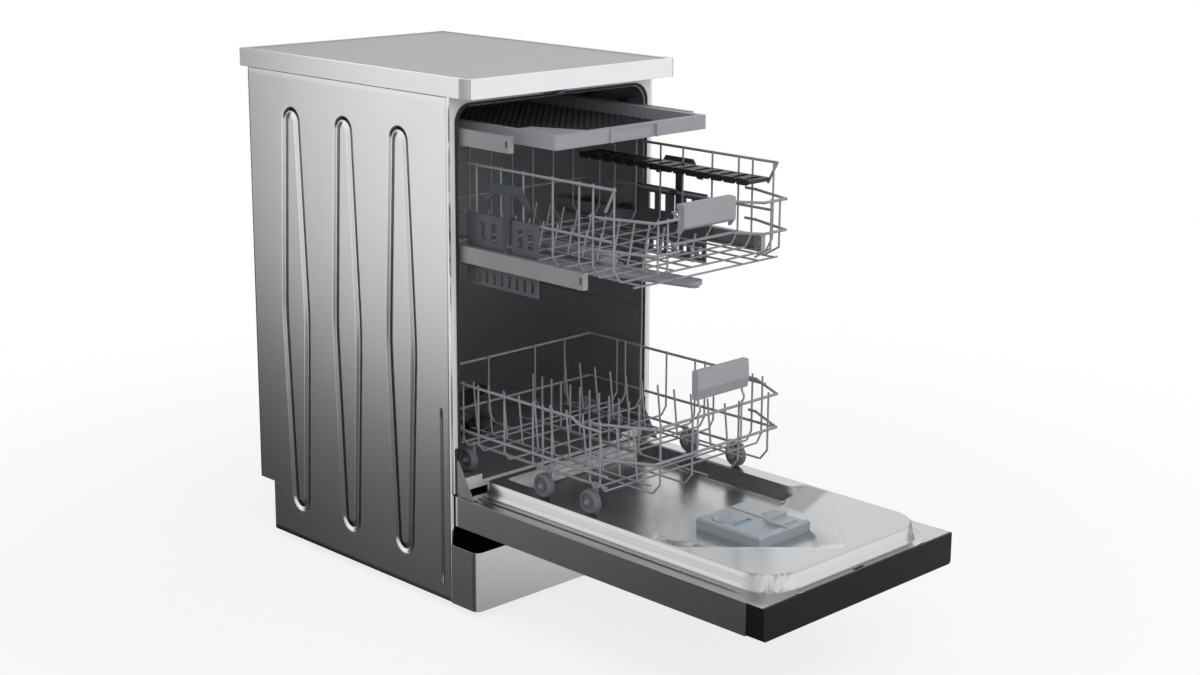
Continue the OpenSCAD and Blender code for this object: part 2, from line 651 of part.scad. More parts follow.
// Door arms: curved steel blades that turn on the pins and reach into the cabinet
blade_reach = 62;
hook_hole = 5;
module hinge_arms() seat() color([0.62, 0.62, 0.62]) both_sides() difference() {
  along_x(arm_x, arm_x + arm_t) difference() {
    union() {
      polygon([[hinge_in - 96, door_face - 30], [hinge_in + 10, door_face - 22], [hinge_in + 12,
        door_face + 6],
        [hinge_in + 19, door_face + blade_reach], [hinge_in + 5, door_face + blade_reach - 4],
        [hinge_in - 12, door_face + 30], [hinge_in - 34, door_face - 2 - tub_wall], [hinge_in - 96,
          door_face - 2 - tub_wall]]);
      translate([hinge_in, hinge_z]) circle(r = 13);
    }
    translate([hook_y, spring_z]) circle(d = hook_hole);
  }
  bar_x(arm_x - eps, arm_x + arm_t + eps, hinge_in, hinge_z, pin_d + 2 * run);
}

// Balance springs beside the tub, hooked between the base and the arms
spring_d = 11;
spring_wire = 2.4;
spring_l = 150;
hook_inset = 11;
hook_y = hinge_in + hook_inset;
spring_below = 12;
spring_z = door_face + blade_reach - spring_below;
module door_springs() seat() color([0.45, 0.45, 0.46]) both_sides() {
  x = bracket_x + bracket_t + gap + spring_d / 2;
  y0 = hinge_in + 22;
  y1 = y0 + spring_l;
  bar_y(y0, y1, x, spring_z, spring_d);
  bar_y(hook_y, y0 + eps, x, spring_z, spring_wire);
  bar_x(bracket_x + bracket_t, x, hook_y, spring_z, spring_wire);
  translate([x, hook_y, spring_z]) sphere(d = spring_wire * ball_share);
  bar_y(y1 - eps, y1 + 20, x, spring_z, spring_wire);
  block(tub_w / 2 + tub_wall + gap, x + 2, y1 + 18, y1 + 28, spring_z - 8, spring_z + 8);
}

// Door catch at the top of the mouth
strike_w = 46;
strike_z = mouth_top + seal_w + 1 + gap;
slot_in = 5.5;
slot_long = 5;
module latch_strike() seat() color([0.7, 0.71, 0.72]) difference() {
  union() {
    block(-strike_w / 2, strike_w / 2, cab_front - seal_t, cab_front - gap, strike_z, under_top - 2);
    block(-6, 6, cab_front - 17, cab_front - 2, strike_z, strike_z + 3);
  }
  block(-3, 3, cab_front - 14, cab_front - 8, strike_z - eps, strike_z + 5);
}

// Flat water duct up the rear wall to the ceiling jet, with the stub that feeds the upper arm
duct_w = 40;
duct_t = 9;
duct_low = tub_floor + gap;
jet_r = 20;
stub_y = 530;
module feed_pipe() seat() color([0.75, 0.76, 0.77]) {
  y1 = tub_back - tub_wall - gap;
  top = tub_top - gap;
  block(-duct_w / 2, duct_w / 2, y1 - duct_t, y1, duct_low, top);
  block(-duct_w / 4, duct_w / 4, sump_y, y1 - duct_t + eps, top - duct_t, top);
  bar_z(top - duct_t - 9, top, 0, sump_y, duct_w * 0.6);
  bar_z(top - duct_t - 14, top - duct_t - 8, 0, sump_y, 2 * jet_r);
  difference() {
    bar_y(stub_y, y1, 0, feed_z, feed_d);
    bar_y(stub_y - eps, y1 - duct_t, 0, feed_z, feed_d - 5);
  }
}

// C-shaped rails with plastic end caps, drawn out of the tub
rail_x = tub_w / 2 - 3;
rail_w = 10;
rail_t = 1;
rail_lip = 3;
cap_l = 14;
tray_rail_below = 30;
tray_rail_z = tray_top - tray_rail_below;
basket_rail_below = 150;
basket_rail_z = upper_rim_z - basket_rail_below;
module rail_profile() {
  translate([-rail_x, 0]) square([rail_t, rail_h]);
  for (z = [0, rail_h - rail_t]) translate([-rail_x, z]) square([rail_w, rail_t]);
  for (z = [0, rail_h - rail_lip]) translate([-rail_x + rail_w - rail_t, z]) square([rail_t, rail_lip]);
}
module rail_pair(out, z) both_sides() translate([0, 0, z]) {
  along_y(-out + cap_l, -out + rail_l) rail_profile();
  difference() {
    along_y(-out, -out + cap_l + 1) translate([-rail_x, 0]) square([rail_w, rail_h]);
    block(-rail_x - eps, -rail_x + rail_w + eps, -out + 3, -out + 8, rail_h * 0.3, rail_h * 0.7);
  }
}
module tray_rails() seat() color([0.7, 0.7, 0.71]) rail_pair(tray_rail_out, tray_rail_z);
module basket_rails() seat() color([0.7, 0.7, 0.71]) rail_pair(rail_out, basket_rail_z);

// Guide clips on the tub walls that hold the rails
guide_l = 22;
guide_jaw = 7;
guide_first = 26;
guide_next = 112;
guide_places = [cab_front + guide_first, cab_front + guide_next];
module guide_clip(z) {
  block(-tub_w / 2 + gap / 2, -rail_x - gap, 0, guide_l, z - guide_jaw, z + rail_h + guide_jaw);
  for (j = [z - guide_jaw, z + rail_h + gap])
    block(-tub_w / 2 + gap / 2, -rail_x + rail_w, 0, guide_l, j, j + guide_jaw - gap);
}
module rail_guides() seat() color([0.35, 0.36, 0.38]) both_sides()
  for (z = [tray_rail_z, basket_rail_z], y = guide_places) translate([0, y, 0]) guide_clip(z);

// Cutlery tray: a moulded rim with a grip at its front, corner louvres and a lattice floor
tray_wall = 12;
tray_y0 = -tray_out;
tray_y1 = -tray_out + tray_l;
tray_low = tray_top - tray_h;
tray_r = 6;
lattice_t = 3;
lattice_pitch = 14;
lattice_bar = 2.6;
grip_w = 100;
louvre_l = 92;
louvre_w = 78;
louvre_n = 5;
tongue_l = 40;
tongue_front = 90;
tongue_back = 60;
tray_tongues = [tray_y0 + tongue_front, tray_y1 - tongue_back];
module tray_outline(inset) soft_rect(tray_w - 2 * inset, tray_y0 + inset, tray_y1 - inset, tray_r);
module tray_louvres() translate([-tray_w / 2 + tray_wall - eps, tray_y0 + tray_wall - eps]) difference() {
  polygon([[0, 0], [louvre_w, 0], [louvre_w * 0.45, louvre_l], [0, louvre_l]]);
  for (i = [0:louvre_n - 1]) translate([8, 14 + i * 15]) rotate(-14)
    square([louvre_w * (0.62 - 0.07 * i), 6]);
}
module tray_frame() seat() color([0.68, 0.69, 0.71]) {
  difference() {
    union() {
      translate([0, 0, tray_low]) linear_extrude(tray_h) difference() {
        tray_outline(0);
        translate([-tray_w / 2 + tray_wall, tray_y0 + tray_wall])
          square([tray_w - 2 * tray_wall, tray_l - 2 * tray_wall]);
      }
      translate([0, 0, tray_top - 7]) linear_extrude(5) tray_louvres();
      for (s = [-1, 1]) block(s * grip_w / 2 - 3, s * grip_w / 2 + 3, tray_y0 - 3, tray_y0 + eps,
        tray_low, tray_top - 2);
      for (s = [-1, 1], y = tray_tongues) {
        block(min(s * (tray_w / 2 - 1), s * (rail_x - rail_w / 2 - 1)),
          max(s * (tray_w / 2 - 1), s * (rail_x - rail_w / 2 - 1)), y, y + tongue_l, tray_low + 4,
            tray_low + 8);
        block(min(s * (rail_x - rail_t - gap), s * (rail_x - rail_w + rail_t + gap)),
          max(s * (rail_x - rail_t - gap), s * (rail_x - rail_w + rail_t + gap)),
          y, y + tongue_l, tray_rail_z + rail_t + gap, tray_rail_z + rail_h - rail_t - gap);
      }
    }
    translate([0, 0, tray_low - eps]) linear_extrude(tray_h - 3) difference() {
      tray_outline(3);
      tray_outline(tray_wall - 3);
    }
    block(-grip_w / 2 + 3, grip_w / 2 - 3, tray_y0 - eps, tray_y0 + 1.5, tray_low + 2, tray_top - 3);
  }
}
module tray_grid() seat() color([0.28, 0.29, 0.31]) {
  z = tray_low + 1;
  half = tray_w / 2 - tray_wall - gap;
  y0 = tray_y0 + tray_wall + gap;
  y1 = tray_y1 - tray_wall - gap;
  nx = floor((2 * half - lattice_bar) / lattice_pitch);
  ny = floor((y1 - y0 - lattice_bar) / lattice_pitch);
  for (i = [0:nx]) block(-half + i * (2 * half - lattice_bar) / nx, -half
    + i * (2 * half - lattice_bar) / nx + lattice_bar,
    y0, y1, z, z + lattice_t);
  for (i = [0:ny]) block(-half, half, y0 + i * (y1 - y0 - lattice_bar) / ny,
    y0 + i * (y1 - y0 - lattice_bar) / ny + lattice_bar, z, z + lattice_t - 0.6);
}

// Upper basket
up_x = upper_w / 2;
up_front = -upper_out;
up_back = up_front + basket_l;
up_mid_below = 46;
up_mid_z = upper_rim_z - up_mid_below;
up_low_below = 94;
up_low_z = upper_rim_z - up_low_below;
up_rail2_below = 76;
up_rail2_z = upper_rim_z - up_rail2_below;
rail2_in = 54;
up_floor_below = 138;
up_floor_z = upper_rim_z - up_floor_below;
feed_d = 20;
feed_z = up_floor_z - 1.5 * thin_wire - feed_d / 2 - gap;
up_step = 40;
up_handle_half = 57;
up_sides = [up_front + 52, up_front + 95, up_front + 124, up_front + 180, up_front + 244, up_front + 294,
  up_front + 350, up_front + 400, up_front + 436];
up_bend = 18;
up_post_x = up_x - (rim_wire + thin_wire) / 2 + weld;
up_inner_x = up_post_x - (rim_wire + thin_wire) / 2 + weld;
up_front_posts = [[-up_x + 64, up_front], [-up_x + 44, up_front]];
up_back_pitch = 46;
function up_bulge(z) = both([[-up_inner_x, up_front + 106, z], [-up_inner_x, up_front + 84, z],
  [-up_x + 34, up_front, z], [-up_x + 84, up_front, z], [-up_handle_half - 8, up_front + up_step, z]]);
// The walls are made flat and butt at the corners with a narrow joint
corner_in = [43, 12];
module wall_joints(x, x_in, y0, y1, z0, z1) both_sides() for (y = [y0 + corner_in[0], y1 - corner_in[1]])
  block(-x - rim_wire, -x_in + rim_wire, y, y + gap, z0 - rim_wire, z1 + rim_wire);
module upper_basket_walls() seat() color([0.58, 0.59, 0.61]) difference() {
  upper_wall_wires();
  wall_joints(up_x, up_x - 24, up_front, up_back, up_low_z, upper_rim_z);
}
module upper_wall_wires() {
  inset = (rim_wire + thin_wire) / 2 - weld;
  wire(both([[-up_x, up_front + 66, upper_rim_z - 34], [-up_x, up_front + 48, upper_rim_z],
    [-up_x, up_back, upper_rim_z]]), rim_wire);
  wire(both([[-up_x, up_front + rail2_in, up_rail2_z], [-up_x, up_back, up_rail2_z]]), rim_wire);
  wire(up_bulge(up_mid_z), rim_wire);
  wire(up_bulge(up_low_z), rim_wire);
  for (m = [0, 1]) mirror([m, 0, 0]) {
    for (y = up_sides) wire([[-up_post_x, y, upper_rim_z + 3], [-up_post_x, y, up_floor_z + up_bend],
      [-up_x + up_bend, y, up_floor_z]], thin_wire);
    for (p = up_front_posts) wire([[p.x, p.y + inset, up_mid_z + 3], [p.x, p.y + inset, up_floor_z + up_bend],
      [p.x, p.y + 34, up_floor_z]], thin_wire);
  }
  for (i = [-3:3]) wire([[i * up_back_pitch, up_back - inset, upper_rim_z + 3],
    [i * up_back_pitch, up_back - inset, up_floor_z + up_bend], [i * up_back_pitch, up_back - 24,
      up_floor_z]], thin_wire);
}
// Its floor: cross wires that carry on the wall wires, long wires under them and two rows of tines
up_tine_rows = [-92, 12];
up_tine_h = 44;
up_tine_n = 12;
up_long_n = 4;
up_long_share = 0.23;
module upper_basket_floor() seat() color([0.58, 0.59, 0.61]) {
  zf = up_floor_z - thin_wire + weld;
  comb_z = up_floor_z + thin_wire + gap;
  half = up_x - up_bend - thin_wire / 2;
  y0 = up_front + 22;
  y1 = up_back - 27;
  for (y = up_sides) rod([-half, y, up_floor_z], [half, y, up_floor_z], thin_wire);
  for (i = [-up_long_n:up_long_n]) rod([i * half * up_long_share, abs(i) < 2 ? y0 + up_step : y0, zf],
    [i * half * up_long_share, y1, zf], thin_wire);
  rod([-half, y0 + 5, zf - thin_wire / 2], [half, y0 + 5, zf - thin_wire / 2], thin_wire);
  for (x = up_tine_rows) {
    rod([x, y0 + up_step + 4, comb_z], [x, y1, comb_z], thin_wire);
    for (i = [0:up_tine_n - 1]) let (y = y0 + up_step + 12 + i * (y1 - y0 - up_step - 24) / (up_tine_n - 1))
      rod([x, y, comb_z + weld], [x + 10, y, up_floor_z + up_tine_h], thin_wire);
  }
}
up_handle_t = 13;
module upper_basket_handle() seat() color([0.66, 0.67, 0.69]) {
  y = up_front + up_step - rim_wire / 2 - gap;
  difference() {
    along_x(-up_handle_half, up_handle_half) polygon([[y, up_mid_z - 34], [y - 4, up_mid_z - 34],
      [y - up_handle_t, up_mid_z - 22],
      [y - up_handle_t, up_mid_z + 10], [y - up_handle_t + 4, up_mid_z + 12], [y + 3, up_mid_z + 12],
        [y + 3, up_mid_z + 5], [y, up_mid_z + 5]]);
    block(-up_handle_half + 3, up_handle_half - 3, y - up_handle_t + 3, y + 5, up_mid_z - 40, up_mid_z + 4);
  }
}

// Racks that hang the upper basket on its rails, each with windows for the height steps
rack_setback = 4;
rack_x = rail_x - rail_w - rack_setback;
rack_t = 3.5;
rack_y0 = -108;
rack_y1 = 50;
rack_below = 34;
rack_low = basket_rail_z - rack_below;
rack_above = 4;
rack_top = up_rail2_z + rack_above;
lift_travel = 40;
lever_slot = 16;
lever_y = -43;
module height_adjusters() seat() color([0.52, 0.53, 0.55]) both_sides() {
  difference() {
    block(-rack_x, -rack_x + rack_t, rack_y0, rack_y1, rack_low, rack_top);
    for (y = [rack_y0 + 10 : 22 : rack_y0 + 34]) block(-rack_x - eps, -rack_x + rack_t + eps, y, y + 14,
      basket_rail_z + rail_h + 12, rack_top - 12);
    for (y = [lever_y + 26 : 24 : rack_y1 - 20]) block(-rack_x - eps, -rack_x + rack_t + eps, y, y + 14,
      basket_rail_z + rail_h + 12, rack_top - 12);
    block(-rack_x - eps, -rack_x + rack_t + eps, lever_y - lever_slot / 2, lever_y + lever_slot / 2,
      up_rail2_z - lift_travel - 14, up_rail2_z + 14);
    for (y = [rack_y0 + 8 : 17 : rack_y1 - 16]) block(-rack_x - eps, -rack_x + rack_t + eps, y, y + 9,
      rack_low + 6, rack_low + 24);
  }
  for (y = [rack_y0 + 6, rack_y1 - 34]) block(-rack_x + rack_t - eps, -up_post_x - thin_wire / 2 - gap,
    y, y + 18,
    up_rail2_z - rim_wire / 2 - gap - 4, up_rail2_z - rim_wire / 2 - gap);
  for (y = [rack_y0 + 6, rack_y1 - 36])
    block(-rail_x + rail_t + gap, -rack_x - gap, y, y + 30, basket_rail_z + rail_lip + gap,
      basket_rail_z + rail_h - rail_lip - gap);
}
// Spring levers on the basket's second rail, reaching out through the racks
lever_t = 3;
lever_span = 104;
lever_below = 19;
lever_top = upper_rim_z - lever_below;
lever_low_below = 36;
lever_low = up_rail2_z - lever_low_below;
pivot_d = 9;
module lever() difference() {
  x = -rack_x - gap - lever_t;
  union() {
    along_x(x, x + lever_t) {
      polygon([[lever_y - lever_span / 2, lever_top - 31], [lever_y - lever_span / 2 + 22, lever_top],
        [lever_y + lever_span / 2 - 22, lever_top], [lever_y + lever_span / 2, lever_top - 31],
        [lever_y + lever_span / 2 - 10, lever_top - 31], [lever_y + lever_span / 2 - 28, lever_top - 16],
        [lever_y + 7, lever_top - 16], [lever_y + 7, lever_low], [lever_y - 7, lever_low], [lever_y - 7,
          lever_top - 16],
        [lever_y - lever_span / 2 + 28, lever_top - 16], [lever_y - lever_span / 2 + 10, lever_top - 31]]);
    }
    block(x, -up_x - rim_wire / 2 - 1, lever_y - 7, lever_y + 7, up_rail2_z - 3, up_rail2_z + 3);
    bar_y(lever_y - 7, lever_y + 7, -up_x, up_rail2_z, pivot_d);
  }
  bar_y(lever_y - 8, lever_y + 8, -up_x, up_rail2_z, rim_wire + 2 * run);
}
module left_lever() seat() color([0.2, 0.22, 0.25]) lever();
module right_lever() seat() color([0.2, 0.22, 0.25]) mirror([1, 0, 0]) lever();

// Folding cup shelf on the right wall of the upper basket
shelf_below = 26;
shelf_z = upper_rim_z - shelf_below;
shelf_x = up_post_x - thin_wire / 2 - gap;
shelf_d = 52;
shelf_t = 6;
shelf_inset = 56;
shelf_y0 = up_front + shelf_inset;
shelf_l = 374;
shelf_y1 = shelf_y0 + shelf_l;
shelf_slots = 14;
module cup_shelf() seat() color([0.13, 0.13, 0.14]) {
  pitch = (shelf_y1 - shelf_y0) / shelf_slots;
  difference() {
    union() {
      block(shelf_x - shelf_d, shelf_x - 3, shelf_y0, shelf_y1, shelf_z - shelf_t / 2, shelf_z + shelf_t / 2);
      bar_y(shelf_y0 + 20, shelf_y1 - 20, shelf_x - 3, shelf_z, shelf_t);
      for (i = [0:shelf_slots - 1]) block(shelf_x - shelf_d - 2, shelf_x - shelf_d + 2, shelf_y0
        + i * pitch + 3,
        shelf_y0 + (i + 1) * pitch - 3, shelf_z - shelf_t / 2 - 2, shelf_z + shelf_t / 2 + 2);
    }
    for (i = [0:shelf_slots - 1]) block(shelf_x - shelf_d + 7, shelf_x - 9, shelf_y0 + (i + 0.3) * pitch,
      shelf_y0 + (i + 0.7) * pitch, shelf_z - shelf_t, shelf_z + shelf_t);
  }
}

// Spray arms: a hub and two tapering hollow blades with jets
arm_blade_t = 14;
lower_arm_r = 145;
upper_arm_r = 172;
lower_arm_above = 26;
lower_arm_z = tub_floor + lower_arm_above;
upper_arm_below = 37;
upper_arm_z = up_floor_z - upper_arm_below;
upper_arm_inset = 238;
upper_arm_y = up_front + upper_arm_inset;
jet_n = 5;
arm_top_share = 0.8;
arm_low_share = 0.4;
arm_foot_below = 10;
arm_foot_z = lower_arm_z - arm_blade_t * arm_low_share - arm_foot_below;
module spray_arm(r, hub_r, w_root, w_tip) {
  difference() {
    union() {
      linear_extrude(arm_blade_t * 0.5) arm_outline(r, w_root, w_tip);
      translate([0, 0, -arm_blade_t * 0.3]) linear_extrude(arm_blade_t * 0.5) arm_outline(r - 4,
        w_root - 8, w_tip - 8);
      bar_z(-arm_blade_t * arm_low_share, arm_blade_t * arm_top_share, 0, 0, 2 * hub_r);
    }
    for (s = [-1, 1], i = [1:jet_n]) translate([s * r * i / (jet_n + 0.7), s * 3, arm_blade_t * 0.3])
      cylinder(d = 3.4, h = arm_blade_t);
  }
}
module arm_outline(r, w_root, w_tip) {
  for (s = [0, 180]) rotate(s) {
    polygon([[0, -w_root / 2], [r - w_tip / 2, -w_tip / 2], [r - w_tip / 2, w_tip / 2], [0, w_root / 2]]);
    translate([r - w_tip / 2, 0]) circle(d = w_tip);
  }
}
module lower_spray_arm() seat() color([0.3, 0.31, 0.33]) difference() {
  union() {
    translate([0, sump_y, lower_arm_z]) rotate([0, 0, 25]) spray_arm(lower_arm_r, 26, 44, 26);
    bar_z(arm_foot_z, lower_arm_z, 0, sump_y, 30);
  }
  bar_z(arm_foot_z - eps, lower_arm_z + arm_blade_t, 0, sump_y, arm_pin_d + 2 * run);
}
upper_arm_turn = -80;
module upper_spray_arm() seat() color([0.68, 0.69, 0.7]) difference() {
  translate([0, upper_arm_y, upper_arm_z]) rotate([0, 0, upper_arm_turn]) spray_arm(upper_arm_r, 24, 46, 28);
  bar_z(upper_arm_z - arm_blade_t, upper_arm_z + arm_blade_t, 0, upper_arm_y, arm_pin_d + 2 * run);
}
dock_in = 17;
module upper_spray_feed() seat() color([0.66, 0.67, 0.68]) {
  nut_z = upper_arm_z - arm_blade_t * arm_low_share - gap;
  bar_z(upper_arm_z + arm_blade_t * arm_top_share + gap, feed_z + feed_d / 2, 0, upper_arm_y, 30);
  bar_z(nut_z - eps, feed_z, 0, upper_arm_y, arm_pin_d);
  bar_z(nut_z - 4, nut_z, 0, upper_arm_y, 2 * arm_pin_d);
  bar_y(upper_arm_y, up_back - dock_in, 0, feed_z, feed_d);
}

// Lower basket
low_x = lower_w / 2;
low_front = -lower_out;
low_back = low_front + basket_l;
low_mid_below = 56;
low_mid_z = lower_rim_z - low_mid_below;
low_side_below = 76;
low_side_z = lower_rim_z - low_side_below;
low_floor_below = 105;
low_floor_z = lower_rim_z - low_floor_below;
wheel_z = track_z + wheel_d / 2 + gap;
wheel_ys = [low_front + 106, low_front + 208, low_front + 386, low_front + 446];
low_chamfer = [48, 78];
low_sides = [low_front + 68, low_front + 89, low_front + 172, low_front + 192, low_front + 214,
  low_front + 279,
  low_front + 340, low_front + 376, low_front + 396];
low_fronts = [-121, -52, 52, 121];
low_bend = 14;
low_post_x = low_x - (rim_wire + thin_wire) / 2 + weld;
low_inner_x = low_post_x - (rim_wire + thin_wire) / 2 + weld;
function low_rim(z) = both([[-low_inner_x, low_front + 93, z], [-low_inner_x, low_front + low_chamfer.y, z],
  [-low_x + low_chamfer.x, low_front, z]]);
module lower_basket_walls() seat() color([0.58, 0.59, 0.61]) difference() {
  lower_wall_wires();
  wall_joints(low_x, low_x - 34, low_front, low_back, low_side_z, lower_rim_z);
}
module lower_wall_wires() {
  inset = (rim_wire + thin_wire) / 2 - weld;
  foot = low_floor_z - thin_wire + weld;
  wire(low_rim(lower_rim_z - 2), rim_wire);
  wire(low_rim(low_mid_z), rim_wire);
  wire(both([[-low_x, low_front + 64, lower_rim_z - 9], [-low_x, low_front + 106, lower_rim_z - 9],
    [-low_x, low_front + 125, lower_rim_z], [-low_x, low_back, lower_rim_z]]), rim_wire);
  wire(both([[-low_x, low_front + 50, low_side_z], [-low_x, low_back, low_side_z]]), rim_wire);
  for (m = [0, 1]) mirror([m, 0, 0]) for (y = low_sides)
    wire([[-low_post_x, y, lower_rim_z + 4], [-low_post_x, y, low_floor_z + low_bend],
      [-low_x + low_bend, y, low_floor_z]], thin_wire);
  for (x = low_fronts) {
    wire([[x, low_front + inset, lower_rim_z + 3], [x, low_front + inset, low_floor_z + low_bend],
      [x, low_front + inset + low_bend, foot]], thin_wire);
    wire([[x, low_back - inset, lower_rim_z + 4], [x, low_back - inset, low_floor_z + low_bend],
      [x, low_back - inset - low_bend, foot]], thin_wire);
  }
}
axle_d = 6;
post_d = 8;
axle_out = 3;
clip_wall = 1.4;
wheel_w = 13;
wheel_setback = 14;
wheel_x = low_x - wheel_setback;
tine_rows = [-112, 92];
tine_h = 82;
tine_n = 11;
module lower_basket_floor() seat() color([0.58, 0.59, 0.61]) {
  half = low_x - low_bend - thin_wire / 2;
  zf = low_floor_z - thin_wire + weld;
  comb_z = low_floor_z + thin_wire + gap;
  inset = (rim_wire + thin_wire) / 2 - weld + thin_wire / 2;
  y0 = low_front + inset + low_bend;
  y1 = low_back - inset - low_bend;
  edge = wheel_x - wheel_w - 4;
  arm = 12;
  for (y = low_sides) rod([-half, y, low_floor_z], [half, y, low_floor_z], thin_wire);
  for (x = concat(low_fronts, [0])) rod([x, y0, zf], [x, y1, zf], thin_wire);
  for (s = [-1, 1]) {
    rod([s * edge, wheel_ys[0] - arm - 12, zf], [s * edge, wheel_ys[3] + 8, zf], rim_wire);
  }
  both_sides() for (y = wheel_ys) {
    difference() {
      block(-edge - axle_d / 2, -edge + axle_d / 2, y - post_d / 2, y + post_d / 2, wheel_z - post_d / 2,
        zf + rim_wire / 2 + clip_wall);
      bar_y(y - post_d, y + post_d, -edge, zf, rim_wire + 2 * gap);
    }
    bar_x(-wheel_x - axle_out, -edge, y, wheel_z, axle_d);
  }
  for (x = tine_rows) {
    rod([x, y0 + 12, comb_z], [x, y1 - 12, comb_z], thin_wire);
    for (i = [0:tine_n - 1]) let (y = y0 + 40 + i * (y1 - y0 - 64) / (tine_n - 1))
      rod([x, y, comb_z + weld], [x, y + 9, low_floor_z + tine_h], thin_wire);
  }
}
// A row of tines that folds flat, turning on the floor wires
fold_x = -10;
fold_h = 78;
fold_n = 12;
fold_inset = 150;
fold_y0 = low_front + fold_inset;
fold_setback = 60;
fold_y1 = low_back - fold_setback;
fold_z = low_floor_z + thin_wire / 2 + rim_wire / 2 + gap;
module fold_tines() seat() color([0.3, 0.31, 0.33]) {
  rod([fold_x, fold_y0, fold_z], [fold_x, fold_y1, fold_z], rim_wire);
  for (i = [0:fold_n - 1]) let (y = fold_y0 + 6 + i * (fold_y1 - fold_y0 - 12) / (fold_n - 1))
    wire([[fold_x, y, fold_z], [fold_x, y, fold_z + fold_h]], thin_wire);
}
// Wheel turned about X: tyre, dished face and hub
module wheel_turn() rotate([0, 90, 0]) rotate_extrude() polygon([[axle_d / 2 + run, -wheel_w / 2],
  [wheel_d * 0.44, -wheel_w / 2],
  [wheel_d / 2, -wheel_w / 2 + 2], [wheel_d / 2, wheel_w / 2 - 3], [wheel_d * 0.42, wheel_w / 2],
    [wheel_d * 0.36, wheel_w / 2],
  [wheel_d * 0.32, wheel_w / 2 - 4], [wheel_d * 0.2, wheel_w / 2 - 4], [wheel_d * 0.17,
    wheel_w / 2 - 1], [axle_d / 2 + run, wheel_w / 2 - 1]]);
module wheel_pair(i) seat() color([0.56, 0.57, 0.59]) for (s = [-1, 1])
  translate([s * (wheel_x - wheel_w / 2), wheel_ys[i], wheel_z]) scale([s, 1, 1]) wheel_turn();
module wheels_1() wheel_pair(0);
module wheels_2() wheel_pair(1);
module wheels_3() wheel_pair(2);
module wheels_4() wheel_pair(3);
// Handle plate on two cranked stems
low_handle_half = 57;
low_handle_above = 28;
low_handle_low = lower_rim_z + low_handle_above;
low_handle_top_above = 72;
low_handle_top = lower_rim_z + low_handle_top_above;
low_handle_t = 12;
stem_x = 49;
module lower_basket_handle() seat() color([0.66, 0.67, 0.69]) {
  y = low_front - rim_wire / 2 - gap;
  difference() {
    along_x(-low_handle_half, low_handle_half) polygon([[y + 3, low_handle_low], [y - low_handle_t + 6,
      low_handle_low],
      [y - low_handle_t + 3, low_handle_low + 16], [y - low_handle_t + 5, low_handle_top], [y + 4,
        low_handle_top], [y + 4, low_handle_low + 16]]);
    block(-stem_x + 6, stem_x - 6, y - low_handle_t + 9, y + 5, low_handle_low - eps, low_handle_top - 4);
  }
  for (x = [-stem_x, stem_x]) wire([[x, y - 2, low_handle_low + 12], [x, y - 2, low_handle_low - 6], [x,
    y - 6, low_handle_low - 12],
    [x, y - 6, low_handle_low - 18], [x, y - 2, low_handle_low - 24], [x, y - 2, low_mid_z - 8]], thin_wire);
}

// Door outer panel: a folded pan, open towards the liner
door_half = door_w / 2;
pan_front = door_end + panel_h;
module door_outer_panel() seat() color([0.35, 0.36, 0.37]) difference() {
  block(-door_half, door_half, pan_front, door_back, door_low, door_face);
  block(-door_half + sheet, door_half - sheet, pan_front - eps, door_back - sheet, door_low + sheet,
    door_face + eps);
  block(-door_half - eps, door_half + eps, hinge_in + 6, door_back + eps, door_face - 14, door_face + eps);
  block(-grip_half + 3, grip_half - 3, grip_y0 + 3, grip_y1 - 3, door_low - eps, door_low + 2 * sheet);
}
// Inner liner: flange, raised field with wheel tracks, and a dished centre
liner_t = 1.2;
field_setback = 22;
field_x = tub_w / 2 - field_setback;
field_inset = 16;
field_y0 = door_end + field_inset;
field_y1_setback = 20;
field_y1 = hinge_in - field_y1_setback;
field_r = 60;
dish_setback = 34;
dish_x = field_x - dish_setback;
dish_inset = 26;
dish_y0 = field_y0 + dish_inset;
dish_y1_setback = 18;
dish_y1 = field_y1 - dish_y1_setback;
dish_drop = 20;
dish_r = 46;
field_z = door_face + field_h;
liner_back_setback = 14;
liner_back = hinge_in - liner_back_setback;
liner_half = door_half - sheet - gap / 2;
module field_outline(x, y0, y1, r, rb) {
  translate([-x, y0 + r]) square([2 * x, y1 - y0 - r - rb]);
  translate([-x + r, y0]) square([2 * (x - r), r + eps]);
  for (s = [-1, 1]) translate([s * (x - r), y0 + r]) circle(r = r);
  translate([-x + rb, y1 - rb - eps]) square([2 * (x - rb), rb + eps]);
  for (s = [-1, 1]) translate([s * (x - rb), y1 - rb]) circle(r = rb);
}
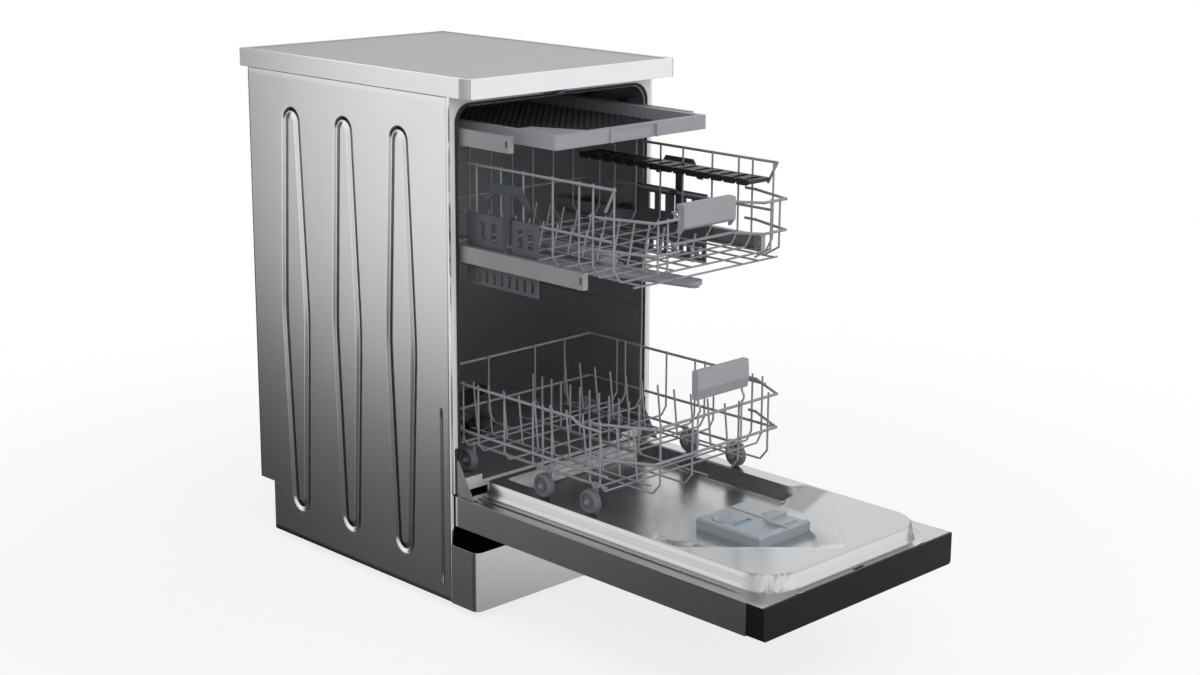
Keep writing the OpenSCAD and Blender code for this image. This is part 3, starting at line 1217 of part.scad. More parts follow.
module door_liner() seat() color([0.78, 0.79, 0.8]) difference() {
  union() {
    block(-liner_half, liner_half, door_end + 4, liner_back, door_face - liner_t, door_face);
    translate([0, 0, door_face - eps]) linear_extrude(field_h + eps) field_outline(field_x, field_y0,
      field_y1, field_r, 12);
    translate([0, 0, door_face - 1.5 * liner_t]) linear_extrude(field_h - dish_drop)
      field_outline(dish_x, dish_y0, dish_y1, dish_r, 10);
  }
  translate([0, 0, door_face - 3 * liner_t]) linear_extrude(field_h + 2 * liner_t) difference() {
    field_outline(field_x - liner_t, field_y0 + liner_t, field_y1 - liner_t, field_r - liner_t, 12 - liner_t);
    field_outline(dish_x + liner_t, dish_y0 - liner_t, dish_y1 + liner_t, dish_r + liner_t, 10 + liner_t);
  }
  translate([0, 0, field_z - dish_drop]) linear_extrude(field_h) field_outline(dish_x, dish_y0, dish_y1,
    dish_r, 10);
  translate([0, 0, door_face - 3 * liner_t]) linear_extrude(field_h - dish_drop + 2 * liner_t)
    field_outline(dish_x + liner_t + eps, dish_y0 - liner_t - eps, dish_y1 + liner_t + eps, dish_r, 10);
  block(-disp_half - gap, disp_half + gap, disp_y0 - gap, disp_y1 + gap, door_face - 20, field_z);
  block(-12, 12, door_end + slot_in, door_end + slot_in + slot_long, door_face - 20, door_face + eps);
  for (s = [-1, 1]) block(min(s * (arm_x - 1), s * (arm_x + arm_t + 1)), max(s * (arm_x - 1),
    s * (arm_x + arm_t + 1)),
    hinge_in - 38, hinge_in, door_face - 20, door_face + eps);
}
// Black control panel across the top of the door, with a grip pocket behind the outer panel
grip_half = 70;
grip_y0 = pan_front + 2;
grip_inset = 42;
grip_y1 = grip_y0 + grip_inset;
grip_depth = 24;
button_d = 14;
button_x = 178;
button_y = door_end + panel_h / 2;
button_hole = 6;
module control_panel() seat() color([0.09, 0.09, 0.1]) difference() {
  union() {
    along_y(door_end, pan_front - gap) soft_rect_z(door_w, door_low, door_face, 5);
    block(-grip_half, grip_half, grip_y0, grip_y1, door_low + sheet + gap, door_low + grip_depth);
    block(-grip_half, grip_half, pan_front - 4, grip_y0 + eps, door_low + sheet + gap, door_low + grip_depth);
  }
  block(-door_half + 3, door_half - 3, door_end + 3, pan_front + eps, door_low + grip_depth + 1,
    door_face - liner_t - gap);
  block(-liner_half - gap, liner_half + gap, door_end + 4 - gap, pan_front + eps,
    door_face - liner_t - gap, door_face + eps);
  block(-grip_half + 3, grip_half - 3, grip_y0 + 3, grip_y1 - 3, door_low - eps, door_low + grip_depth - 3);
  for (s = [-1, 1]) bar_z(door_low - eps, door_low + button_hole + 2, s * button_x, button_y, button_d
    + 2 * gap);
}
module soft_rect_z(w, z0, z1, r) {
  translate([-w / 2 + r, z0]) square([w - 2 * r, z1 - z0]);
  translate([-w / 2, z0 + r]) square([w, z1 - z0 - r]);
  for (s = [-1, 1]) translate([s * (w / 2 - r), z0 + r]) circle(r = r);
}
module button_at(s) seat() color([0.2, 0.2, 0.21]) translate([s * button_x, button_y, door_low - 0.8]) {
  cylinder(d = button_d, h = 5);
  translate([0, 0, 0]) cylinder(d = button_d - 3, h = 5.4);
}
module power_button() button_at(-1);
module start_button() button_at(1);

// Detergent dispenser in the liner, with its sliding lid and the rinse-aid flap
disp_half = 58;
disp_inset = 146;
disp_y0 = door_end + disp_inset;
disp_y1_inset = 125;
disp_y1 = disp_y0 + disp_y1_inset;
disp_top = field_z - 2;
cup_d = 26;
disp_deep = 18;
disp_step = 4;
disp_split = 12;
disp_end = 5;
cup_x = 18;
cup_side = 6;
cup_front = 52;
cup_back = 12;
cap_x = -32;
cap_y = disp_y0 + 92;
cap_d = 34;
cap_deep = 9;
cap_t = 8;
cap_grip = [24, 5, 5];
window_x = [-44, -16];
window_y = [34, 44];
window_t = 3;
lid_front = 46;
lid_rise = 1.5;
lid_ribs = 4;
lid_rib_x = [20, 8];
lid_rib_w = 2;
lid_rib_top = 3;
module dispenser() seat() color([0.6, 0.61, 0.63]) difference() {
  union() {
    block(-disp_half, disp_half, disp_y0, disp_y1, door_face - disp_deep, disp_top - disp_step);
    block(-disp_half, disp_split, disp_y0, disp_y1, door_face - disp_deep, disp_top);
    for (y = [disp_y0, disp_y1 - disp_end])
      block(disp_split - 2, disp_half, y, y + disp_end, disp_top - disp_end, disp_top);
  }
  block(cup_x, disp_half - cup_side, disp_y0 + cup_front, disp_y1 - cup_back, disp_top - cup_d, disp_top + eps);
  bar_z(disp_top - cap_deep, disp_top + eps, cap_x, cap_y, cap_d + 2 * gap);
  block(window_x[0], window_x[1], disp_y0 + window_y[0], disp_y0 + window_y[1], disp_top - window_t, disp_top + eps);
}
module dispenser_lid() seat() color([0.64, 0.65, 0.67]) {
  y0 = disp_y0 + lid_front;
  block(disp_split + gap, disp_half, y0, disp_y1 - disp_end - gap, disp_top - disp_step + gap, disp_top + lid_rise);
  for (i = [1:lid_ribs])
    block(lid_rib_x[0], disp_half - lid_rib_x[1], y0 + 2 * i * lid_rib_w, y0 + (2 * i + 1) * lid_rib_w,
      disp_top + 1, disp_top + lid_rib_top);
}
module rinse_lid() seat() color([0.3, 0.4, 0.6]) {
  translate([cap_x, cap_y, disp_top - cap_deep + gap]) cylinder(d = cap_d, h = cap_t);
  translate([cap_x, cap_y, disp_top]) cube(cap_grip, center = true);
}

// Door lock under the liner's slot
module door_latch() seat() color([0.2, 0.2, 0.21]) difference() {
  block(-26, 26, door_end + 3 + gap, door_end + 24, door_face - liner_t - gap - 17,
    door_face - liner_t - gap);
  block(-10, 10, door_end + slot_in, door_end + slot_in + slot_long, door_face - 15.5, door_face);
}

worktop_board();
worktop_rim();
worktop_corners();
left_side_panel();
right_side_panel();
rear_panel();
base_tray();
plinth();
tub();
tub_gasket();
sump();
filter_plate();
filter_cylinder();
wash_pump();
drain_pump();
softener_tank();
salt_cap();
inlet_valve();
upper_spray_feed();
counterweight();
hinge_brackets();
door_springs();
latch_strike();
feed_pipe();
rail_guides();
front_left_foot();
front_right_foot();
rear_left_foot();
rear_right_foot();
lower_spray_arm();
upper_spray_arm();
tray_rails();
basket_rails();
tray_frame();
tray_grid();
upper_basket_walls();
upper_basket_floor();
upper_basket_handle();
height_adjusters();
left_lever();
right_lever();
cup_shelf();
lower_basket_walls();
lower_basket_floor();
lower_basket_handle();
fold_tines();
wheels_1();
wheels_2();
wheels_3();
wheels_4();
door_outer_panel();
door_liner();
control_panel();
dispenser();
dispenser_lid();
rinse_lid();
door_latch();
hinge_arms();
power_button();
start_button();
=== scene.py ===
"""Slimline free-standing dishwasher, door open and baskets drawn out: the looks of every piece.

Each sub-assembly is a class with its own sizes in millimetres. Its methods build the pieces that the
solids leave plain and give a finish to every solid that stays. The frame's metres come in at `mm`.
"""

import json
import logging
import math
from collections.abc import Callable, Iterable, Sequence
from dataclasses import dataclass
from enum import Enum

import bmesh
import bpy
from mathutils import Matrix, Vector


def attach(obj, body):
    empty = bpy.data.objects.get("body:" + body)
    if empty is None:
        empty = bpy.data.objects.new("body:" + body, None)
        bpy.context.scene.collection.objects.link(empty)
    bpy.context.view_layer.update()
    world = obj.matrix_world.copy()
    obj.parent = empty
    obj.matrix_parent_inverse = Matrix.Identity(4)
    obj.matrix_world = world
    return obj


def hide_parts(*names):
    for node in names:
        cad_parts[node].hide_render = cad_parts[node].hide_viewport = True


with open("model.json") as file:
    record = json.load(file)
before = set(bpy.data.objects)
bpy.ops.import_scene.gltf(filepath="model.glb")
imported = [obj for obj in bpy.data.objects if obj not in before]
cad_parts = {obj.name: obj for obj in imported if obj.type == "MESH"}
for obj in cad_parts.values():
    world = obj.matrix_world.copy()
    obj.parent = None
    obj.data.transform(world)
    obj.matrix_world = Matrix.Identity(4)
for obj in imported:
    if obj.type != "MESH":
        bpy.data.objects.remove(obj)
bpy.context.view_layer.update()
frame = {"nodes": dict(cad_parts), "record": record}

log = logging.getLogger("dishwasher")

Point = tuple[float, float, float]
Value = float | tuple | bpy.types.NodeSocket

# One millimetre in the frame's metres.
MM = 0.001
# Creases of moulded pieces stay sharp above this angle, in degrees.
MOULD_ANGLE = 30.0
# Octaves and roughness of a finish's two noises: its slow clouds of colour and its fine marks.
CLOUD_NOISE = {"Detail": 3.0, "Roughness": 0.55}
MARK_NOISE = {"Detail": 4.0, "Roughness": 0.6}
# Where nearly all values of a noise lie.
NOISE_SPAN = {"From Min": 0.3, "From Max": 0.7}
LEAST_ROUGHNESS = 0.02
BEVEL_SAMPLES = 4


def mm(value: float) -> float:
    """Millimetres in the frame's metres."""
    return value * MM


def spot(point: Point) -> Vector:
    """A point in millimetres as a vector in metres."""
    return Vector(point) * MM


def linear(code: str) -> tuple[float, float, float, float]:
    """Turns an sRGB hex colour into Blender's linear RGBA.

    Args:
        code: The colour, such as "#9FA1A5".

    Returns:
        Red, green, blue and an alpha of one.
    """
    parts = [int(code[i:i + 2], 16) / 255 for i in (1, 3, 5)]
    low = [c / 12.92 if c <= 0.04045 else ((c + 0.055) / 1.055) ** 2.4 for c in parts]
    return low[0], low[1], low[2], 1.0


def add(tree: bpy.types.NodeTree, kind: str, inputs: dict[str | int, Value] | None = None,
        **settings: object) -> bpy.types.Node:
    """Adds one node with its settings, values and links.

    Args:
        tree: The node tree that gets the node.
        kind: The node's type name.
        inputs: Values for its sockets, or the output sockets that feed them.
        settings: Its own settings by name.

    Returns:
        The new node.
    """
    made = tree.nodes.new(kind)
    for name, value in settings.items():
        setattr(made, name, value)
    for name, value in (inputs or {}).items():
        if isinstance(value, bpy.types.NodeSocket):
            tree.links.new(value, made.inputs[name])
        else:
            made.inputs[name].default_value = value
    return made


def placed(name: str, data: bpy.types.ID) -> bpy.types.Object:
    """Puts an object with some data into the scene.

    Args:
        name: The object's name.
        data: Its mesh, camera or lamp.

    Returns:
        The new object.
    """
    made = bpy.data.objects.new(name, data)
    bpy.context.scene.collection.objects.link(made)
    return made


class Change(Enum):
    """How a value goes from one end of a band to the other."""

    STRAIGHT = "LINEAR"
    EASED = "SMOOTHSTEP"


@dataclass(frozen=True)
class Band:
    """A change of a value between two places."""

    start: float
    stop: float
    first: float = 0.0
    last: float = 1.0
    change: Change = Change.EASED

    def inputs(self, followed: bpy.types.NodeSocket) -> dict[str | int, Value]:
        """Gives the band's limits as inputs by name.

        Args:
            followed: The socket whose value is followed.

        Returns:
            The value and its limits.
        """
        return {"Value": followed, "From Min": self.start, "From Max": self.stop, "To Min": self.first,
                "To Max": self.last}


@dataclass(frozen=True)
class Finish:
    """What a surface is made of and how it was made. Lengths are in millimetres."""

    name: str
    colour: str
    shade: str
    metallic: float
    roughness: float
    uneven: float = 0.06
    patch: float = 60.0
    grain: float = 1.2
    relief: float = 0.02
    arris: float = 0.5
    ior: float = 1.5

    def build(self) -> bpy.types.Material:
        """Makes the material: slow colour change, fine marks in gloss and height, worn arrises.

        Returns:
            The material, with its nodes in place.
        """
        made = bpy.data.materials.new(self.name)
        made.use_nodes = True
        tree = made.node_tree
        tree.nodes.clear()
        place = add(tree, "ShaderNodeTexCoord").outputs["Object"]
        cloud, fine = (add(tree, "ShaderNodeTexNoise", {"Vector": place, "Scale": 1 / mm(size), **noise})
                       for size, noise in ((self.patch, CLOUD_NOISE), (self.grain, MARK_NOISE)))
        tint = add(tree, "ShaderNodeMix", {"Factor": cloud.outputs["Fac"], "A": linear(self.colour),
                                           "B": linear(self.shade)}, data_type="RGBA")
        tint_out = [s for s in tint.outputs if s.type == "RGBA"][0]
        gloss = add(tree, "ShaderNodeMapRange", {
            "Value": fine.outputs["Fac"], **NOISE_SPAN,
            "To Min": max(self.roughness - self.uneven, LEAST_ROUGHNESS),
            "To Max": min(self.roughness + self.uneven, 1.0)})
        arris = add(tree, "ShaderNodeBevel", {"Radius": mm(self.arris)}, samples=BEVEL_SAMPLES)
        height = add(tree, "ShaderNodeBump", {
            "Height": fine.outputs["Fac"], "Normal": arris.outputs["Normal"],
            "Distance": mm(self.relief)})
        skin = add(tree, "ShaderNodeBsdfPrincipled", {
            "Base Color": tint_out, "Metallic": self.metallic, "Roughness": gloss.outputs["Result"],
            "Normal": height.outputs["Normal"]})
        if not self.metallic:
            skin.inputs["IOR"].default_value = self.ior
        add(tree, "ShaderNodeOutputMaterial", {"Surface": skin.outputs["BSDF"]})
        return made


FINISHES: dict[str, Finish] = {
    # Calendered laminate sheet on the board: grey, satin, with a fine printed fleck.
    "worktop_inlay": Finish("grey_laminate_pressed", "#AEAFB3", "#A7A8AB", 0.0, 0.42, grain=2.5),
    # Sheet steel, zinc-coated and stoved in silver paint: soft sheen and the paint's orange peel.
    "silver_paint": Finish("silver_stoved_paint_steel", "#E4E5E7", "#DEDFE1", 1.0, 0.15, uneven=0.03,
                           grain=2.0, relief=0.002, patch=120.0),
    # ABS end caps, moulded in light grey.
    "grey_trim": Finish("light_grey_abs_moulded", "#B6B8BA", "#ADAFB2", 0.0, 0.4, arris=1.0),
    # Hot-dip galvanised sheet: dull zinc with broad spangle.
    "galvanised_steel": Finish("galvanised_steel_folded", "#B1B4B6", "#9A9EA1", 0.9, 0.45, patch=14.0,
                               uneven=0.1, grain=4.0),
    # Glass-filled polypropylene, black, for the base and ducts.
    "dark_plastic": Finish("dark_grey_polypropylene_moulded", "#303235", "#292B2D", 0.0, 0.5, arris=0.8),
    # Cold-rolled stainless sheet, bright annealed and deep drawn: it mirrors its surroundings softly.
    "stainless_steel": Finish("stainless_steel_bright_annealed", "#D8D9DA", "#CFD0D1", 1.0, 0.24,
                              grain=1.0, relief=0.006, patch=180.0),
    # The same sheet, satin rolled and deep drawn for the tub: its walls mirror the dark inside softly.
    "tub_steel": Finish("stainless_steel_satin_drawn", "#C4C6C7", "#BABCBE", 0.9, 0.4, grain=1.0,
                        relief=0.004, patch=160.0),
    # Its mouth flange, brushed flat and rougher than the tub's walls. Its pale, barely metallic base is
    # painted light: a lighter copy of the tub steel that stands in for the brighter look of the front
    # face.
    "flange_steel_painted_light": Finish("stainless_steel_brushed_painted_light", "#E6E7E8", "#DDDEDF", 0.12, 0.46, grain=0.8,
                           relief=0.003, patch=140.0),
    # Zinc-plated steel channel, roll formed: grey and satin.
    "rail_steel": Finish("zinc_plated_steel_roll_formed", "#A6A8A9", "#9B9D9F", 0.6, 0.42, grain=1.0,
                         patch=30.0),
    # EPDM lip seal, extruded: matt and slightly dusty.
    "seal_rubber": Finish("epdm_rubber_extruded", "#2B2C2E", "#232425", 0.0, 0.7, grain=0.8,
                          relief=0.03),
    "white_plastic": Finish("white_polypropylene_moulded", "#D9DAD8", "#CFD0CE", 0.0, 0.4, arris=0.8),
    # Polypropylene with a spark-eroded mould skin: handles, racks and arms.
    "grey_plastic": Finish("mid_grey_polypropylene_moulded", "#96989D", "#8F9196", 0.0, 0.4, grain=0.9,
                           relief=0.01, arris=0.9),
    # Grey cast iron with a sand-mould skin.
    "cast_ballast": Finish("cast_iron_sand_moulded", "#4A4A4B", "#3B3B3C", 0.2, 0.75, grain=2.0,
                           relief=0.3, arris=2.0),
    "black_plastic": Finish("black_polypropylene_moulded", "#1E1F21", "#191A1B", 0.0, 0.4, arris=0.7),
    # Steel wire dipped in grey nylon: smooth, with a soft gloss and slight runs.
    "coated_wire": Finish("grey_nylon_dipped_wire", "#8E9094", "#85878B", 0.0, 0.33, grain=3.0,
                          relief=0.03, patch=25.0),
    "slate_plastic": Finish("slate_polypropylene_moulded", "#41454B", "#3A3E43", 0.0, 0.38, arris=0.7),
    # Harder polyamide for the racks, wheels and catches, each in its own grey.
    "rack_plastic": Finish("dark_grey_polyamide_moulded", "#54575B", "#4C4F53", 0.0, 0.42, arris=0.6),
    "wheel_plastic": Finish("wheel_grey_polyamide_moulded", "#6C6F73", "#64676A", 0.0, 0.4, arris=0.8),
    "catch_plastic": Finish("catch_grey_polyamide_moulded", "#8C8F92", "#838689", 0.0, 0.4, arris=0.6),
    # Blue-grey polypropylene of the detergent dispenser and the lighter one of its lid.
    "dispenser_plastic": Finish("blue_grey_polypropylene_moulded", "#9FA6AD", "#979EA5", 0.0, 0.34,
                                arris=0.7),
    "lid_plastic": Finish("pale_grey_polypropylene_moulded", "#AEB1B3", "#A6A9AB", 0.0, 0.34, arris=0.7),
    # Black ABS with a polished mould skin for the control panel.
    "gloss_black": Finish("black_abs_polished", "#0F1011", "#0C0D0E", 0.0, 0.3, relief=0.004,
                          arris=1.2, ior=1.38),
    # Transparent blue tint of the rinse indicator.
    "blue_plastic": Finish("blue_polypropylene_moulded", "#5F86B5", "#557BA8", 0.0, 0.25),
}


# Solids whose real piece has another finish than the rest of their material.
NODE_FINISHES: dict[str, str] = {
    "basket_rails": "rail_steel", "tray_rails": "rail_steel", "height_adjusters": "rack_plastic",
    "left_lever": "slate_plastic", "right_lever": "slate_plastic", "latch_strike": "catch_plastic",
    "dispenser_lid": "lid_plastic",
    **{f"wheels_{i}": "wheel_plastic" for i in (1, 2, 3, 4)},
}


def soft_step(t: float) -> float:
    """A smooth change from zero to one as t goes from zero to one."""
    t = min(max(t, 0.0), 1.0)
    return t * t * t * (t * (6 * t - 15) + 10)


def inside_rounded(x: float, y: float, half: float, y0: float, y1: float, front_r: float,
                   back_r: float) -> float:
    """How far a point lies inside a rectangle with rounded corners.

    Args:
        x: The point's place across.
        y: The point's place in depth.
        half: Half the rectangle's width.
        y0: Its front edge.
        y1: Its back edge.
        front_r: Radius of its front corners.
        back_r: Radius of its back corners.

    Returns:
        The distance to the outline, positive inside.
    """
    r = front_r if y < (y0 + y1) / 2 else back_r
    mid, tall = (y0 + y1) / 2, (y1 - y0) / 2
    dx, dy = abs(x) - (half - r), abs(y - mid) - (tall - r)
    return r - math.hypot(max(dx, 0.0), max(dy, 0.0)) - min(max(dx, dy), 0.0)


def marks(start: float, stop: float, step: float, fixed: Iterable[float] = ()) -> list[float]:
    """Grid lines from start to stop that pass exactly through some places.

    Args:
        start: The first line.
        stop: The last line.
        step: The spacing wanted.
        fixed: Places that have to have a line.

    Returns:
        The lines in rising order.
    """
    held = sorted({start, stop, *(f for f in fixed if start < f < stop)})
    lines: list[float] = []
    for a, b in zip(held, held[1:]):
        n = max(1, round((b - a) / step))
        lines += [a + (b - a) * i / n for i in range(n)]
    return lines + [stop]


def smoothed(mesh: bpy.types.Mesh, angle: float = 35.0) -> bpy.types.Mesh:
    """Shades a mesh smooth, but for its sharp edges.

    Args:
        mesh: The mesh.
        angle: The angle in degrees above which an edge is sharp.

    Returns:
        The same mesh.
    """
    mesh.polygons.foreach_set("use_smooth", [True] * len(mesh.polygons))
    mesh.set_sharp_from_angle(angle=math.radians(angle))
    return mesh


def drawn(name: str, bm: bmesh.types.BMesh) -> bpy.types.Mesh:
    """Turns an edit mesh into a mesh and frees it.

    Args:
        name: The mesh's name.
        bm: The edit mesh.

    Returns:
        The mesh.
    """
    mesh = bpy.data.meshes.new(name)
    bm.to_mesh(mesh)
    bm.free()
    return mesh


def plain(held: bpy.types.Object) -> bpy.types.Mesh:
    """Gives what an object's modifiers make as a plain mesh of its name, and removes the object.

    Args:
        held: The object.

    Returns:
        The finished mesh.
    """
    ready = held.evaluated_get(bpy.context.evaluated_depsgraph_get())
    made = bpy.data.meshes.new_from_object(ready)
    made.name = held.name
    bpy.data.objects.remove(held)
    return made


def sheet_metal(name: str, rows: Sequence[Sequence[Point]], keep: Callable[[int, int], bool],
                wall: float) -> bpy.types.Mesh:
    """Makes a pressed sheet with a wall from a grid of points on its outer face.

    Args:
        name: The mesh's name.
        rows: The grid, in millimetres, wound so that its quads face outwards.
        keep: Says whether the quad at a row and column is there.
        wall: The sheet's thickness.

    Returns:
        The closed mesh.
    """
    bm = bmesh.new()
    verts = [[bm.verts.new(spot(p)) for p in row] for row in rows]
    for i in range(len(rows) - 1):
        for j in range(len(rows[0]) - 1):
            if keep(i, j):
                bm.faces.new((verts[i][j], verts[i + 1][j], verts[i + 1][j + 1], verts[i][j + 1]))
    bmesh.ops.delete(bm, geom=[v for v in bm.verts if not v.link_faces], context="VERTS")
    held = placed(name, drawn(name, bm))
    modifier = held.modifiers.new("wall", "SOLIDIFY")
    modifier.thickness, modifier.offset = mm(wall), -1.0
    return smoothed(plain(held))


def relief_block(name: str, xs: Sequence[float], ys: Sequence[float],
                 height: Callable[[float, float], float], base: float) -> bpy.types.Mesh:
    """Makes a closed block with a flat underside and a moulded top.

    Args:
        name: The mesh's name.
        xs: Grid lines across, in millimetres.
        ys: Grid lines in depth.
        height: The top's height at a point.
        base: The height of the underside.

    Returns:
        The closed mesh.
    """
    bm = bmesh.new()
    top = [[bm.verts.new((mm(x), mm(y), mm(height(x, y)))) for y in ys] for x in xs]
    for i in range(len(xs) - 1):
        for j in range(len(ys) - 1):
            bm.faces.new((top[i][j], top[i + 1][j], top[i + 1][j + 1], top[i][j + 1]))
    rim = ([row[0] for row in top] + top[-1][1:] + [row[-1] for row in reversed(top[:-1])]
           + list(reversed(top[0][1:-1])))
    low = [bm.verts.new((v.co.x, v.co.y, mm(base))) for v in rim]
    for a in range(len(rim)):
        b = (a + 1) % len(rim)
        bm.faces.new((rim[b], rim[a], low[a], low[b]))
    bm.faces.new(tuple(reversed(low)))
    return smoothed(drawn(name, bm), MOULD_ANGLE)


def turned(name: str, profile: Sequence[tuple[float, float]], centre: tuple[float, float],
           steps: int = 64) -> bpy.types.Mesh:
    """Makes a closed turned piece about an upright axis.

    Args:
        name: The mesh's name.
        profile: Radius and height from the top of the axis to its foot, in millimetres.
        centre: The axis, across and in depth.
        steps: Sides of the round.

    Returns:
        The closed mesh.
    """
    bm = bmesh.new()
    rings = [[bm.verts.new((mm(centre[0] + r * math.cos(a)), mm(centre[1] + r * math.sin(a)), mm(z)))
              for a in (math.tau * k / steps for k in range(steps))] for r, z in profile if r > 0]
    for upper, lower in zip(rings, rings[1:]):
        for a in range(steps):
            b = (a + 1) % steps
            bm.faces.new((upper[b], upper[a], lower[a], lower[b]))
    bm.faces.new(rings[0])
    bm.faces.new(tuple(reversed(rings[-1])))
    return smoothed(drawn(name, bm), MOULD_ANGLE)


def merged(name: str, *parts: bpy.types.Mesh) -> bpy.types.Mesh:
    """Joins meshes into one.

    Args:
        name: The new mesh's name.
        parts: The meshes, each already in place.

    Returns:
        The joined mesh.
    """
    bm = bmesh.new()
    for part in parts:
        bm.from_mesh(part)
    return drawn(name, bm)


def grown(name: str, tree: bpy.types.NodeTree, values: dict[str, float | int]) -> bpy.types.Mesh:
    """Runs a node tree on an empty mesh and returns what it makes as a plain mesh.

    Args:
        name: The result's name.
        tree: The node tree.
        values: Its inputs by name.

    Returns:
        The mesh.
    """
    held = placed(name, bpy.data.meshes.new(name))
    modifier = held.modifiers.new("nodes", "NODES")
    modifier.node_group = tree
    for item in tree.interface.items_tree:
        if item.in_out == "INPUT" and item.name in values:
            modifier[item.identifier] = values[item.name]
    return plain(held)


class Workshop:
    """Keeps one material for each finish and dresses pieces with it."""

    def __init__(self, finishes: dict[str, Finish]) -> None:
        """Builds every material once.

        Args:
            finishes: The finish of each material slot.
        """
        self.materials = {slot: finish.build() for slot, finish in finishes.items()}

    def dress_node(self, node: str, slot: str) -> None:
        """Gives a solid of the frame its finish.

        Args:
            node: The solid's name.
            slot: The material slot.
        """
        mesh = frame["nodes"][node].data
        mesh.materials.clear()
        mesh.materials.append(self.materials[NODE_FINISHES.get(node, slot)])
        mesh.polygons.foreach_set("material_index", [0] * len(mesh.polygons))
        log.info("%s: %s", node, slot)

    def piece(self, name: str, mesh: bpy.types.Mesh, slot: str, body: str,
              stands_for: Sequence[str] = (), finish: str = "") -> None:
        """Makes an object of a mesh, with its finish, its body and the solids that it stands for.

        Args:
            name: The piece's name.
            mesh: Its mesh, in place in the frame.
            slot: Its material slot.
            body: The body that it rides on.
            stands_for: Solids that it replaces.
            finish: Its finish, where it isn't that of its slot.
        """
        made = placed(name, mesh)
        mesh.materials.clear()
        mesh.materials.append(self.materials[finish or slot])
        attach(made, body)
        if stands_for:
            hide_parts(*stands_for)
        log.info("%s on %s: %s", name, body, slot)


@dataclass(frozen=True)
class Lamp:
    """A large square lamp: where it hangs, the point that it faces, its edge and its watts."""

    name: str
    place: Point
    aim: Point
    size: float
    power: float


# Where the pale screens that metal mirrors change. "above" follows the height of a direction, "square"
# how nearly it runs along the depth, and the others how far back its bearing points.
MIRROR_BANDS: dict[str, Band] = {
    "slant": Band(0.76, 0.86, 0.01, -0.084, Change.STRAIGHT),
    "low": Band(0.67, 0.75, -0.045, 0.0, Change.STRAIGHT),
    "front": Band(-0.6, 0.0, 0.13, 0.0),
    "edge": Band(0.79, 0.855, 1.0, 0.11),
    "rear": Band(0.975, 0.995, 0.0, 0.7),
    "above": Band(0.1, 0.3),
    "square": Band(0.1, 0.6, 0.62, 1.0, Change.STRAIGHT),
}


